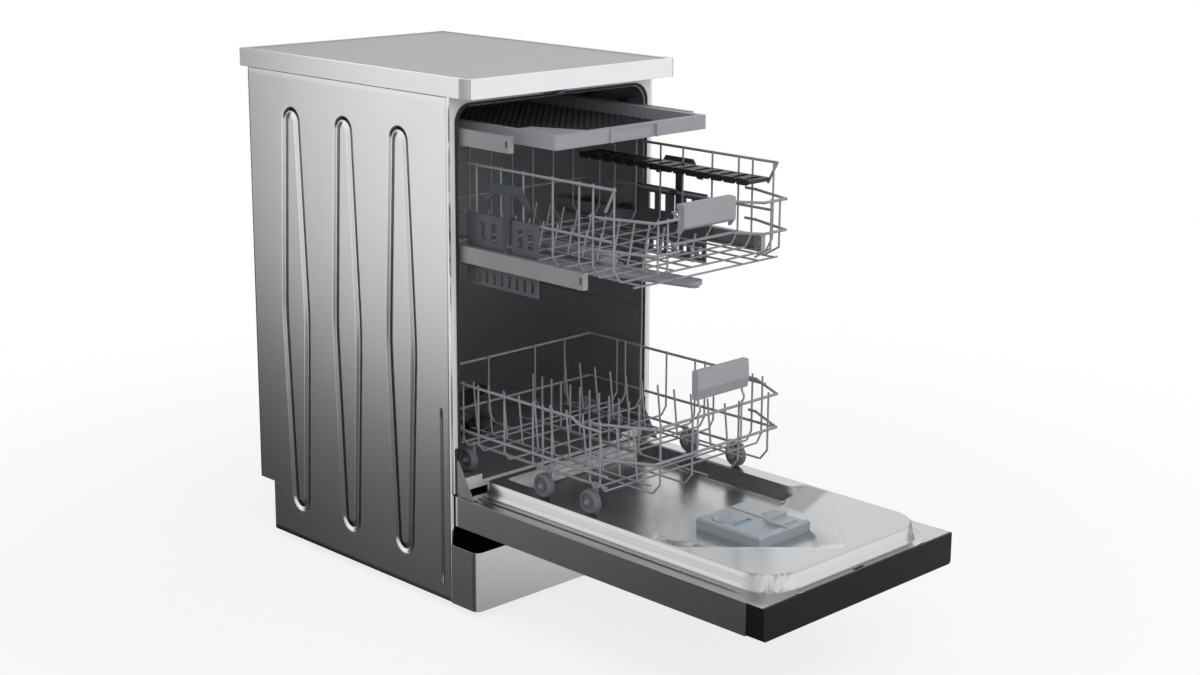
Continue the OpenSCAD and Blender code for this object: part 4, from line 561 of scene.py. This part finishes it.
@dataclass
class Studio:
    """The camera at the photograph's angle, a pale floor and soft lamps. Lengths are in millimetres.

    The grades are the mirrored screens' tones by height, from `lowest` to one.
    """

    eye: Point = (-2128.9, -2206.2, 1216.4)
    yaw: float = -45.3
    pitch: float = -13.0
    roll: float = 0.5
    lens: float = 59.06
    sensor: float = 36.0
    shift: tuple[float, float] = (-0.018, -0.046)
    sight: float = 200000.0
    floor_half: float = 30000.0
    fade: tuple[float, float] = (600.0, 2000.0)
    fade_share: tuple[float, float] = (0.8, 1.0)
    mirrored_light: float = 1.08
    even_light: float = 0.62
    lowest: float = -0.5
    grades: tuple[tuple[float, float], ...] = (
        (-0.45, 0.05), (-0.40, 0.06), (-0.36, 0.10), (-0.315, 0.12), (-0.285, 0.32), (-0.26, 0.60),
        (-0.22, 0.82), (-0.13, 0.96), (0.0, 1.0), (0.15, 0.95), (0.35, 0.80), (0.65, 0.48), (1.0, 0.60))
    lamps: tuple[Lamp, ...] = (Lamp("key", (-1200, -2600, 2600), (0, -100, 400), 3200, 55),
                               Lamp("fill", (2400, -1200, 1500), (0, -200, 400), 2800, 22))

    def camera(self) -> None:
        """Puts the camera where the photograph was taken from."""
        yaw, pitch, roll = (math.radians(a) for a in (self.yaw, self.pitch, self.roll))
        ahead = Vector((-math.sin(yaw) * math.cos(pitch), math.cos(yaw) * math.cos(pitch),
                        math.sin(pitch)))
        right = Vector((math.cos(yaw), math.sin(yaw), 0.0))
        up = right.cross(ahead)
        side = right * math.cos(roll) + up * math.sin(roll)
        top = up * math.cos(roll) - right * math.sin(roll)
        data = bpy.data.cameras.new("camera")
        data.lens = self.lens
        data.sensor_width = self.sensor
        data.sensor_fit = "HORIZONTAL"
        data.shift_x, data.shift_y = self.shift
        data.clip_end = mm(self.sight)
        made = placed("camera", data)
        turn = Matrix((side, top, -ahead)).transposed().to_4x4()
        made.matrix_world = Matrix.Translation(spot(self.eye)) @ turn
        bpy.context.scene.camera = made

    def floor(self) -> None:
        """Lays a pale floor that keeps the object's shadow and turns into the white surround."""
        half = mm(self.floor_half)
        mesh = bpy.data.meshes.new("floor")
        mesh.from_pydata([(-half, -half, 0), (half, -half, 0), (half, half, 0), (-half, half, 0)], [],
                         [(0, 1, 2, 3)])
        made = placed("floor", mesh)
        made.visible_glossy = False
        skin = bpy.data.materials.new("pale_floor")
        skin.use_nodes = True
        tree = skin.node_tree
        tree.nodes.clear()
        place = add(tree, "ShaderNodeTexCoord").outputs["Object"]
        reach = add(tree, "ShaderNodeVectorMath", {0: place}, operation="LENGTH").outputs["Value"]
        far = add(tree, "ShaderNodeMapRange", Band(*map(mm, self.fade), *self.fade_share).inputs(reach),
                  interpolation_type=Change.EASED.value)
        seen = add(tree, "ShaderNodeLightPath").outputs["Is Camera Ray"]
        share = add(tree, "ShaderNodeMath", {0: far.outputs["Result"], 1: seen}, operation="MULTIPLY")
        matt = add(tree, "ShaderNodeBsdfDiffuse", {"Color": linear("#E6E6E6")})
        white = add(tree, "ShaderNodeEmission")
        blend = add(tree, "ShaderNodeMixShader", {0: share.outputs[0], 1: matt.outputs[0],
                                                  2: white.outputs[0]})
        add(tree, "ShaderNodeOutputMaterial", {"Surface": blend.outputs[0]})
        mesh.materials.append(skin)

    def mirrored_tone(self, tree: bpy.types.NodeTree) -> bpy.types.NodeSocket:
        """Grades what metal mirrors: pale screens at both sides that end low down and towards the back.

        Args:
            tree: The world's node tree.

        Returns:
            The grey level for each direction.
        """
        way = add(tree, "ShaderNodeTexCoord").outputs["Generated"]
        axes = add(tree, "ShaderNodeSeparateXYZ", {"Vector": way}).outputs
        level = add(tree, "ShaderNodeCombineXYZ", {"X": axes["X"], "Y": axes["Y"]})
        bearing = add(tree, "ShaderNodeVectorMath", {0: level.outputs[0]}, operation="NORMALIZE")
        back = add(tree, "ShaderNodeSeparateXYZ", {"Vector": bearing.outputs["Vector"]}).outputs["Y"]
        along = add(tree, "ShaderNodeMath", {0: back}, operation="ABSOLUTE").outputs[0]
        followed = {"above": axes["Z"], "square": along}
        bands = {name: add(tree, "ShaderNodeMapRange", band.inputs(followed.get(name, back)),
                           interpolation_type=band.change.value).outputs[0]
                 for name, band in MIRROR_BANDS.items()}
        lift, share = bands["slant"], bands["edge"]
        for name in ("low", "front"):
            lift = add(tree, "ShaderNodeMath", {0: lift, 1: bands[name]}, operation="ADD").outputs[0]
        for name in ("rear", "above"):
            share = add(tree, "ShaderNodeMath", {0: share, 1: bands[name]},
                        operation="MAXIMUM").outputs[0]
        rise = add(tree, "ShaderNodeMath", {0: axes["Z"], 1: lift}, operation="ADD").outputs[0]
        place = add(tree, "ShaderNodeMapRange", {"Value": rise, "From Min": self.lowest})
        grade = add(tree, "ShaderNodeValToRGB", {"Fac": place.outputs[0]})
        ramp = grade.color_ramp
        while len(ramp.elements) < len(self.grades):
            ramp.elements.new(0.5)
        for element, (height, tone) in zip(ramp.elements, self.grades):
            element.position = (height - self.lowest) / (1 - self.lowest)
            element.color = (tone, tone, tone, 1.0)
        for factor in (bands["square"], grade.outputs["Color"]):
            share = add(tree, "ShaderNodeMath", {0: share, 1: factor}, operation="MULTIPLY").outputs[0]
        return share

    def surround(self) -> None:
        """Lights the scene from all round, white to the camera and graded for what metal mirrors."""
        world = bpy.data.worlds.new("studio")
        bpy.context.scene.world = world
        world.use_nodes = True
        tree = world.node_tree
        tree.nodes.clear()
        path = add(tree, "ShaderNodeLightPath")
        mirror = add(tree, "ShaderNodeBackground", {"Color": self.mirrored_tone(tree),
                                                    "Strength": self.mirrored_light})
        even = add(tree, "ShaderNodeBackground", {"Color": linear("#FFFFFF"),
                                                  "Strength": self.even_light})
        white = add(tree, "ShaderNodeBackground", {"Color": (1, 1, 1, 1)})
        one = add(tree, "ShaderNodeMixShader", {0: path.outputs["Is Glossy Ray"], 1: even.outputs[0],
                                                2: mirror.outputs[0]})
        two = add(tree, "ShaderNodeMixShader", {0: path.outputs["Is Camera Ray"], 1: one.outputs[0],
                                                2: white.outputs[0]})
        add(tree, "ShaderNodeOutputWorld", {"Surface": two.outputs[0]})

    def hang(self, lamp: Lamp) -> None:
        """Hangs one large soft lamp that metal doesn't mirror.

        Args:
            lamp: The lamp.
        """
        data = bpy.data.lights.new(lamp.name, "AREA")
        data.energy = lamp.power
        data.size = mm(lamp.size)
        made = placed(lamp.name, data)
        made.visible_glossy = False
        turn = (Vector(lamp.aim) - Vector(lamp.place)).normalized().to_track_quat("-Z", "Y")
        made.matrix_world = Matrix.Translation(spot(lamp.place)) @ turn.to_matrix().to_4x4()

    def build(self) -> None:
        """Sets up camera, floor, surround and lamps."""
        scene = bpy.context.scene
        scene.view_settings.view_transform = "Standard"
        self.camera()
        self.floor()
        self.surround()
        for lamp in self.lamps:
            self.hang(lamp)


@dataclass
class SidePanels:
    """The two silver side panels: pressed sheets with long ribs, a slot groove and rounded folds."""

    half_width: float = 224.0
    front: float = 53.0
    rear: float = 570.0
    foot: float = 10.0
    top: float = 820.0
    cutback_y: float = 529.0
    cutback_z: float = 98.0
    wall: float = 0.8
    fold: float = 12.0
    front_fold: float = 6.0
    fold_radius: float = 3.0
    rib_centres: tuple[float, ...] = (170.0, 310.0, 450.0)
    rib_low: float = 65.0
    rib_high: float = 762.0
    rib_narrow: float = 44.0
    rib_wide: float = 75.0
    rib_depth: float = 1.9
    rib_margin: float = 1.5
    rib_outer_wall: float = 6.0
    rib_inner_wall: float = 10.0
    rib_floor: float = 0.25
    rib_kink_share: float = 0.06
    groove_y: float = 74.0
    groove_low: float = 48.0
    groove_high: float = 317.0
    groove_width: float = 5.0
    groove_depth: float = 1.1
    groove_round: float = 1.4
    groove_lines: int = 4
    bend_lines: int = 4
    across_step: float = 2.1
    up_step: float = 7.0
    arc_step: float = 2.5
    arc_lines: int = 11
    slack: float = 0.1

    def rib(self, y: float, z: float) -> float:
        """How far a point of the panel lies inside the nearest rib's outline.

        Args:
            y: The point's place in depth.
            z: The point's height.

        Returns:
            The distance to the outline, positive inside.
        """
        r = self.rib_narrow / 2
        low, high = self.rib_low + r, self.rib_high - r
        off = min(abs(y - c) for c in self.rib_centres)
        if z < low or z > high:
            return r - math.hypot(off, z - (low if z < low else high))
        swell = 1 - math.hypot(2 * (z - low) / (high - low) - 1, self.rib_kink_share)
        return r + (self.rib_wide - self.rib_narrow) / 2 * swell - off

    def depth(self, y: float, z: float) -> float:
        """How deep the sheet is pressed in at a point: a furrow round each rib, and the slot groove.

        Args:
            y: The point's place in depth.
            z: The point's height.

        Returns:
            The depth.
        """
        inside = self.rib(y, z) + self.rib_margin
        pressed = self.rib_depth * soft_step(inside / self.rib_outer_wall)
        inner = soft_step((inside - self.rib_outer_wall) / self.rib_inner_wall)
        pressed -= (self.rib_depth - self.rib_floor) * inner
        held = min(max(z, self.groove_low), self.groove_high)
        across = math.hypot(y - self.groove_y, z - held)
        groove = soft_step(self.groove_round - across / (self.groove_width / 2))
        return max(pressed, self.groove_depth * groove)

    def lines(self, start: float, stop: float, step: float, fixed: Iterable[float], first_fold: float,
              last_fold: float) -> list[tuple[float, float]]:
        """The panel's section in one direction: folded edge, rounded bend, flat, bend, folded edge.

        Args:
            start: Where the panel starts.
            stop: Where it ends.
            step: Spacing of the lines on the flat.
            fixed: Places on the flat that have to have a line.
            first_fold: Width of the first folded edge.
            last_fold: Width of the last folded edge.

        Returns:
            Pairs of inward offset and place.
        """
        r = self.fold_radius
        turns = [math.radians(90 / self.bend_lines * k) for k in range(self.bend_lines)]
        bend = [(r - r * math.sin(a), r - r * math.cos(a)) for a in turns]
        flat = marks(start + r, stop - r, step, fixed)
        return ([(first_fold, start)] + [(i, start + o) for i, o in bend] + [(0.0, y) for y in flat]
                + [(i, stop - o) for i, o in reversed(bend)] + [(last_fold, stop)])

    def mesh(self, name: str, side: int) -> bpy.types.Mesh:
        """Makes one panel.

        Args:
            name: The mesh's name.
            side: -1 for the left panel, 1 for the right.

        Returns:
            The panel's mesh.
        """
        edges = [self.groove_y + d for d in range(-self.groove_lines, self.groove_lines + 1)]
        across = self.lines(self.front, self.rear, self.across_step, [*edges, self.cutback_y],
                            self.front_fold, self.fold)
        ends = (self.rib_low - self.arc_step, self.rib_high - self.rib_narrow / 2)
        arcs = [end + self.arc_step * k for end in ends for k in range(self.arc_lines)]
        fixed = [self.cutback_z, self.groove_low, self.groove_high, *arcs]
        up = self.lines(self.foot, self.top, self.up_step, fixed, self.fold, self.fold)
        x = self.half_width

        def point(i: int, j: int) -> Point:
            """The place of one grid point."""
            (in_y, y), (in_z, z) = across[j], up[i]
            return side * (x - max(in_y, in_z, self.depth(y, z))), y, z

        def keep(i: int, j: int) -> bool:
            """Leaves the quads of the cut-back out."""
            return across[j][1] < self.cutback_y - self.slack or up[i][1] > self.cutback_z - self.slack

        grid = [[point(i, j) for j in range(len(across))] for i in range(len(up))]
        if side < 0:
            return sheet_metal(name, grid, keep, self.wall)
        return sheet_metal(name, list(zip(*grid)), lambda i, j: keep(j, i), self.wall)

    def build(self, shop: "Workshop") -> None:
        """Makes both panels in place of their solids.

        Args:
            shop: The workshop that dresses pieces.
        """
        for side, name in ((-1, "left"), (1, "right")):
            mesh = self.mesh(f"{name}_pressed_panel", side)
            shop.piece(f"{name}_pressed_panel", mesh, "silver_paint", "cabinet", [f"{name}_side_panel"])


@dataclass
class DoorLiner:
    """The stainless liner: beaded flange, raised field as wheel tracks, dish with wide front slopes."""

    half_width: float = 215.05
    front: float = -586.0
    back: float = 31.0
    flange_z: float = 187.0
    field_z: float = 211.0
    dish_z: float = 191.0
    field_half: float = 182.0
    field_front: float = -574.0
    field_back: float = 25.0
    corner: float = 60.0
    back_corner: float = 12.0
    shoulder: float = 5.0
    dish_half: float = 148.0
    dish_front: float = -552.0
    dish_back: float = 7.0
    side_slope: float = 17.0
    wide_half: float = 173.0
    wide_slope: float = 62.0
    wide_y: float = -322.0
    wide_run: float = 24.0
    front_slope: float = 60.0
    corner_reach: float = 236.0
    crease: float = 0.035
    bead_x: float = 196.0
    bead_h: float = 1.2
    bead_half: float = 1.8
    bead_reach: float = 2.0
    fold_lines: int = 5
    step: float = 3.6
    wall: float = 0.9
    opening: tuple[float, float, float] = (58.6, -444.6, -318.4)
    lock_slot: tuple[float, float, float] = (12.0, -584.5, -579.5)
    blade_slot: tuple[float, float, float] = (206.0, 216.0, 7.0)

    def sunk(self, x: float, y: float) -> float:
        """How far down the dish a point lies, as a share of its depth: the least of its slopes.

        Args:
            x: The point's place across.
            y: The point's place in depth.

        Returns:
            Zero on the field, one on the floor of the dish.
        """
        across = abs(x)
        near = (self.dish_half - across) / self.side_slope
        wide = (self.wide_half - across) / self.wide_slope
        turn = soft_step((self.wide_y - y) / self.wide_run)
        sides = near + (wide - near) * turn
        front = (y - self.dish_front) / self.front_slope
        back = (self.dish_back - y) / self.side_slope
        corner = (self.corner_reach - across - (self.wide_y - y)) / self.front_slope
        least = min(sides, front, back, corner, 1.0)
        others = sum(math.exp((least - s) / self.crease) for s in (sides, front, back, corner, 1.0))
        return max(least - self.crease * math.log(others), 0.0)

    def height(self, x: float, y: float) -> float:
        """The liner's height at a point.

        Args:
            x: The point's place across.
            y: The point's place in depth.

        Returns:
            The height of its upper face.
        """
        out = inside_rounded(x, y, self.field_half, self.field_front, self.field_back, self.corner,
                             self.back_corner)
        z = self.flange_z + (self.field_z - self.flange_z) * soft_step(out / self.shoulder)
        if out > self.shoulder:
            z -= (self.field_z - self.dish_z) * self.sunk(x, y)
        if out < 0:
            z += self.bead_h * math.exp(-((out + self.bead_x - self.field_half) / self.bead_half) ** 2)
        return z

    def build(self, shop: "Workshop") -> None:
        """Makes the liner in place of its solid.

        Args:
            shop: The workshop that dresses pieces.
        """
        hole_x, hole_y0, hole_y1 = self.opening
        lock_x, lock_y0, lock_y1 = self.lock_slot
        blade_x0, blade_x1, blade_y = self.blade_slot
        folds = [self.shoulder * k / self.fold_lines for k in range(self.fold_lines + 2)]
        half = [0.0, lock_x, hole_x, blade_x0, self.bead_x - self.bead_reach, self.bead_x,
                self.bead_x + self.bead_reach, *(self.field_half - d for d in folds), self.dish_half,
                self.wide_half]
        xs = marks(-self.half_width, self.half_width, self.step, [s * v for v in half for s in (-1, 1)])
        ys = marks(self.front, self.back, self.step, [
            hole_y0, hole_y1, lock_y0, lock_y1, blade_y, *(self.field_front + d for d in folds),
            *(self.field_back - d for d in folds), self.dish_front, self.dish_back, self.wide_y])

        def keep(i: int, j: int) -> bool:
            """Leaves the quads of the holes out."""
            x, y = abs(xs[i] + xs[i + 1]) / 2, (ys[j] + ys[j + 1]) / 2
            return not ((x < hole_x and hole_y0 < y < hole_y1) or (x < lock_x and lock_y0 < y < lock_y1)
                        or (blade_x0 < x < blade_x1 and y > blade_y))

        grid = [[(x, y, self.height(x, y)) for y in ys] for x in xs]
        mesh = sheet_metal("pressed_liner", grid, keep, self.wall)
        shop.piece("pressed_liner", mesh, "stainless_steel", "door", ["door_liner"])


@dataclass
class Tub:
    """The drawn tub, whose mouth flange has a brushed face with painted light: a paler, barely metallic
    copy of the tub steel. The flange ends at `flange_back`.
    """

    flange_back: float = 54.2

    def build(self, shop: "Workshop") -> None:
        """Copies the tub's solids and gives their flange its own finish: brushed, with painted light in
        its paler base colour.

        Args:
            shop: The workshop that dresses pieces.
        """
        mesh = frame["nodes"]["tub"].data.copy()
        mesh.name = "drawn_tub"
        shop.piece("drawn_tub", mesh, "stainless_steel", "cabinet", ["tub"], "tub_steel")
        # The flange's faces get the paler copy of the steel: painted light on the tub's front face.
        mesh.materials.append(shop.materials["flange_steel_painted_light"])
        for face in mesh.polygons:
            if max(mesh.vertices[v].co.y for v in face.vertices) < mm(self.flange_back):
                face.material_index = 1


@dataclass
class Lattice:
    """The cutlery tray's floor: a diamond lattice, one cross repeated over a grid of points."""

    half_width: float = 152.7
    front: float = -111.7
    back: float = 293.7
    low: float = 754.0
    thick: float = 3.0
    bar: float = 2.4
    cell: float = 14.0
    bar_gap: float = 0.4

    def tree(self) -> bpy.types.NodeTree:
        """Builds the node tree that lays the crosses out.

        Returns:
            The tree, with its sizes as named inputs.
        """
        tree = bpy.data.node_groups.new("diamond_lattice", "GeometryNodeTree")
        face = tree.interface
        face.new_socket("Geometry", in_out="OUTPUT", socket_type="NodeSocketGeometry")
        for name in ("Width", "Length", "Bar Length", "Bar Width", "Thickness"):
            face.new_socket(name, in_out="INPUT", socket_type="NodeSocketFloat")
        for name in ("Across", "Along"):
            face.new_socket(name, in_out="INPUT", socket_type="NodeSocketInt")
        face.new_socket("Slant", in_out="INPUT", socket_type="NodeSocketFloat")
        given = add(tree, "NodeGroupInput").outputs
        grid = add(tree, "GeometryNodeMeshGrid", {
            "Size X": given["Width"], "Size Y": given["Length"], "Vertices X": given["Across"],
            "Vertices Y": given["Along"]})
        size = add(tree, "ShaderNodeCombineXYZ", {"X": given["Bar Length"], "Y": given["Bar Width"],
                                                  "Z": given["Thickness"]})
        bar = add(tree, "GeometryNodeMeshCube", {"Size": size.outputs[0]})
        pair = add(tree, "GeometryNodeJoinGeometry")
        for sign in (1.0, -1.0):
            angle = add(tree, "ShaderNodeMath", {0: given["Slant"], 1: sign}, operation="MULTIPLY")
            turn = add(tree, "ShaderNodeCombineXYZ", {"Z": angle.outputs[0]})
            slanted = add(tree, "GeometryNodeTransform", {"Geometry": bar.outputs["Mesh"],
                                                          "Rotation": turn.outputs[0]})
            tree.links.new(slanted.outputs["Geometry"], pair.inputs["Geometry"])
        laid = add(tree, "GeometryNodeInstanceOnPoints", {"Points": grid.outputs["Mesh"],
                                                          "Instance": pair.outputs["Geometry"]})
        real = add(tree, "GeometryNodeRealizeInstances", {"Geometry": laid.outputs["Instances"]})
        add(tree, "NodeGroupOutput", {"Geometry": real.outputs["Geometry"]})
        return tree

    def build(self, shop: "Workshop") -> None:
        """Makes the lattice in place of its solid.

        Args:
            shop: The workshop that dresses pieces.
        """
        wide, long = 2 * self.half_width, self.back - self.front
        across, along = round(wide / self.cell), round(long / self.cell)
        cell_x, cell_y = wide / across, long / along
        reach = math.hypot(cell_x, cell_y) - self.bar * self.bar_gap
        values = {"Width": mm(wide - cell_x), "Length": mm(long - cell_y), "Across": across,
                  "Along": along, "Bar Length": mm(reach), "Bar Width": mm(self.bar),
                  "Thickness": mm(self.thick), "Slant": math.atan2(cell_y, cell_x)}
        mesh = grown("tray_lattice", self.tree(), values)
        centre = (0, mm((self.front + self.back) / 2), mm(self.low + self.thick / 2))
        mesh.transform(Matrix.Translation(centre))
        shop.piece("tray_lattice", mesh, "dark_plastic", "cutlery_tray", ["tray_grid"])


@dataclass
class Dispenser:
    """The detergent dispenser: a moulded block with a stepped front, a cup, a sight glass and a cap.

    The cap's profile holds offsets from its radius and the block's top, its foot one from its own base.
    """

    half_width: float = 58.0
    front: float = -444.0
    back: float = -319.0
    base: float = 169.0
    top: float = 209.0
    low: float = 205.0
    split: float = 12.0
    end_wall: float = 5.0
    cup: tuple[float, float, float, float, float] = (18.0, 52.0, -392.0, -331.0, 183.0)
    cap: tuple[float, float, float, float] = (-32.0, -352.0, 17.3, 200.0)
    glass: tuple[float, float, float, float, float] = (-44.0, -4.0, -384.0, -374.0, 207.4)
    ledge: tuple[float, float, float] = (-392.0, -402.0, 203.0)
    gap: tuple[float, float, float] = (-431.0, -425.0, 197.0)
    ledge_half: tuple[float, float] = (-53.0, 8.0)
    bar_top: float = 207.0
    slot_y: tuple[float, float] = (-429.0, -422.0)
    slot_x: tuple[float, float, float] = (23.0, 50.0, 4.5)
    slot_depth: float = 1.2
    arris: float = 3.0
    step: float = 0.3
    grid: float = 1.5
    rim: float = 1.0
    pane_end: float = 4.0
    float_start: float = 3.7
    pane_rise: float = 0.8
    float_rise: float = 0.6
    sink: float = 0.5
    cap_profile: tuple[tuple[float, float], ...] = (
        (-5.0, 1.0), (-3.5, 1.6), (0.2, 1.6), (1.2, 0.9), (1.2, 0.25), (-1.0, 0.25))
    cap_foot: tuple[float, float] = (-1.0, 0.4)
    grip_half: tuple[float, float] = (9.0, 11.0)
    grip_wide: float = 2.0
    grip_rise: tuple[float, float] = (2.4, 1.2)

    def height(self, x: float, y: float) -> float:
        """The block's height at a point.

        Args:
            x: The point's place across.
            y: The point's place in depth.

        Returns:
            The height of its upper face.
        """
        cup_x0, cup_x1, cup_y0, cup_y1, cup_z = self.cup
        cap_x, cap_y, cap_r, cap_z = self.cap
        glass_x0, glass_x1, glass_y0, glass_y1, glass_z = self.glass
        if cup_x0 < x < cup_x1 and cup_y0 < y < cup_y1:
            return cup_z
        if math.hypot(x - cap_x, y - cap_y) < cap_r:
            return cap_z
        if glass_x0 < x < glass_x1 and glass_y0 < y < glass_y1:
            return glass_z
        if x > self.split and self.front + self.end_wall < y < self.back - self.end_wall:
            first, last, pitch = self.slot_x
            beside = first < x < last and self.slot_y[0] < y < self.slot_y[1]
            in_slot = beside and (x - first) % pitch < pitch / 2
            return self.low - (self.slot_depth if in_slot else 0.0)
        edge = min(self.half_width - abs(x), y - self.front, self.back - y)
        z = self.top - self.arris * (1 - soft_step(0.5 + edge / (2 * self.arris))) * 2
        if self.ledge_half[0] < x < self.ledge_half[1] and y < self.ledge[0]:
            if self.gap[0] < y < self.gap[1]:
                return self.gap[2]
            if y < self.gap[0]:
                return min(z, self.bar_top)
            fall = (self.ledge[0] - y) / (self.ledge[0] - self.ledge[1])
            return self.top - (self.top - self.ledge[2]) * min(fall, 1.0)
        return z

    def build(self, shop: "Workshop") -> None:
        """Makes the block, its sight glass and the rinse-aid cap in place of their solids.

        Args:
            shop: The workshop that dresses pieces.
        """
        cup_x0, cup_x1, cup_y0, cup_y1, _ = self.cup
        glass_x0, glass_x1, glass_y0, glass_y1, glass_z = self.glass
        first, last, pitch = self.slot_x
        slots = [first + pitch / 2 * k for k in range(int(2 * (last - first) / pitch) + 1)]
        folds_x = [cup_x0, cup_x1, glass_x0, glass_x1, self.split, *self.ledge_half, *slots]
        folds_y = [cup_y0, cup_y1, glass_y0, glass_y1, self.ledge[0], self.ledge[1], *self.gap[:2],
                   *self.slot_y, self.front + self.end_wall, self.back - self.end_wall]
        half = self.step / 2
        xs = marks(-self.half_width, self.half_width, self.grid,
                   [f + d for f in folds_x for d in (-half, half)])
        ys = marks(self.front, self.back, self.grid, [f + d for f in folds_y for d in (-half, half)])
        body = relief_block("dispenser_block", xs, ys, self.height, self.base)
        shop.piece("dispenser_block", body, "grey_plastic", "door", ["dispenser"], "dispenser_plastic")
        glass_y = [glass_y0 + self.rim, glass_y1 - self.rim]
        pane = relief_block("sight_glass", [glass_x0 + self.rim, glass_x1 - self.pane_end], glass_y,
                            lambda x, y: glass_z + self.pane_rise, glass_z - self.sink)
        shop.piece("sight_glass", pane, "blue_plastic", "door")
        dark = relief_block("sight_float", [glass_x1 - self.float_start, glass_x1 - self.rim], glass_y,
                            lambda x, y: glass_z + self.float_rise, glass_z - self.sink)
        shop.piece("sight_float", dark, "black_plastic", "door")
        cap_x, cap_y, cap_r, cap_z = self.cap
        foot_r, foot_z = self.cap_foot
        profile = [(cap_r + r, self.top + z) for r, z in self.cap_profile]
        cap = turned("rinse_cap", [*profile, (cap_r + foot_r, cap_z + foot_z)], (cap_x, cap_y))
        inner, outer = self.grip_half
        crest, end = (self.top + rise for rise in self.grip_rise)
        grip = relief_block("cap_grip", [cap_x - outer, cap_x - inner, cap_x + inner, cap_x + outer],
                            [cap_y - self.grip_wide, cap_y, cap_y + self.grip_wide],
                            lambda x, y: crest if abs(x - cap_x) < (inner + outer) / 2 else end,
                            self.top + self.sink)
        cap = merged("rinse_cap", cap, grip)
        shop.piece("rinse_cap", cap, "blue_plastic", "rinse_lid", ["rinse_lid"], "dispenser_plastic")


@dataclass
class BalanceSprings:
    """The door's balance springs: one close-wound coil along each side of the tub."""

    across: float = 211.0
    front: float = 67.0
    length: float = 150.0
    height: float = 237.0
    radius: float = 4.5
    wire: float = 0.9
    pitch: float = 2.6
    turn_points: int = 20
    wire_points: int = 8

    def tree(self) -> bpy.types.NodeTree:
        """Builds the node tree that winds one coil.

        Returns:
            The tree, with its sizes as named inputs.
        """
        tree = bpy.data.node_groups.new("wound_spring", "GeometryNodeTree")
        face = tree.interface
        face.new_socket("Geometry", in_out="OUTPUT", socket_type="NodeSocketGeometry")
        for name in ("Turns", "Radius", "Length", "Wire Radius"):
            face.new_socket(name, in_out="INPUT", socket_type="NodeSocketFloat")
        given = add(tree, "NodeGroupInput").outputs
        line = add(tree, "GeometryNodeCurveSpiral", {
            "Resolution": self.turn_points, "Rotations": given["Turns"], "Start Radius": given["Radius"],
            "End Radius": given["Radius"], "Height": given["Length"]})
        ring = add(tree, "GeometryNodeCurvePrimitiveCircle", {"Resolution": self.wire_points,
                                                              "Radius": given["Wire Radius"]})
        wire = add(tree, "GeometryNodeCurveToMesh", {
            "Curve": line.outputs["Curve"], "Profile Curve": ring.outputs["Curve"], "Fill Caps": True})
        add(tree, "NodeGroupOutput", {"Geometry": wire.outputs["Mesh"]})
        return tree

    def build(self, shop: "Workshop") -> None:
        """Winds both coils round the plain cores that the solids give.

        Args:
            shop: The workshop that dresses pieces.
        """
        tree = self.tree()
        values = {"Turns": self.length / self.pitch, "Radius": mm(self.radius),
                  "Length": mm(self.length), "Wire Radius": mm(self.wire)}
        coils = []
        for side in (-1, 1):
            coil = grown("coil", tree, values)
            start = (mm(side * self.across), mm(self.front), mm(self.height))
            coil.transform(Matrix.Translation(start) @ Matrix.Rotation(-math.pi / 2, 4, "X"))
            coils.append(coil)
        mesh = smoothed(merged("balance_coils", *coils))
        shop.piece("balance_coils", mesh, "galvanised_steel", "cabinet")


def main() -> None:
    """Builds the studio and every sub-assembly, in order."""
    logging.basicConfig(level=logging.INFO, format="%(message)s")
    Studio().build()
    shop = Workshop(FINISHES)
    for part in frame["record"]["subparts"]:
        shop.dress_node(part["node"], part["material_slot"])
    for assembly in (Tub(), SidePanels(), DoorLiner(), Dispenser(), Lattice(), BalanceSprings()):
        assembly.build(shop)


if __name__ == "__main__":
    main()
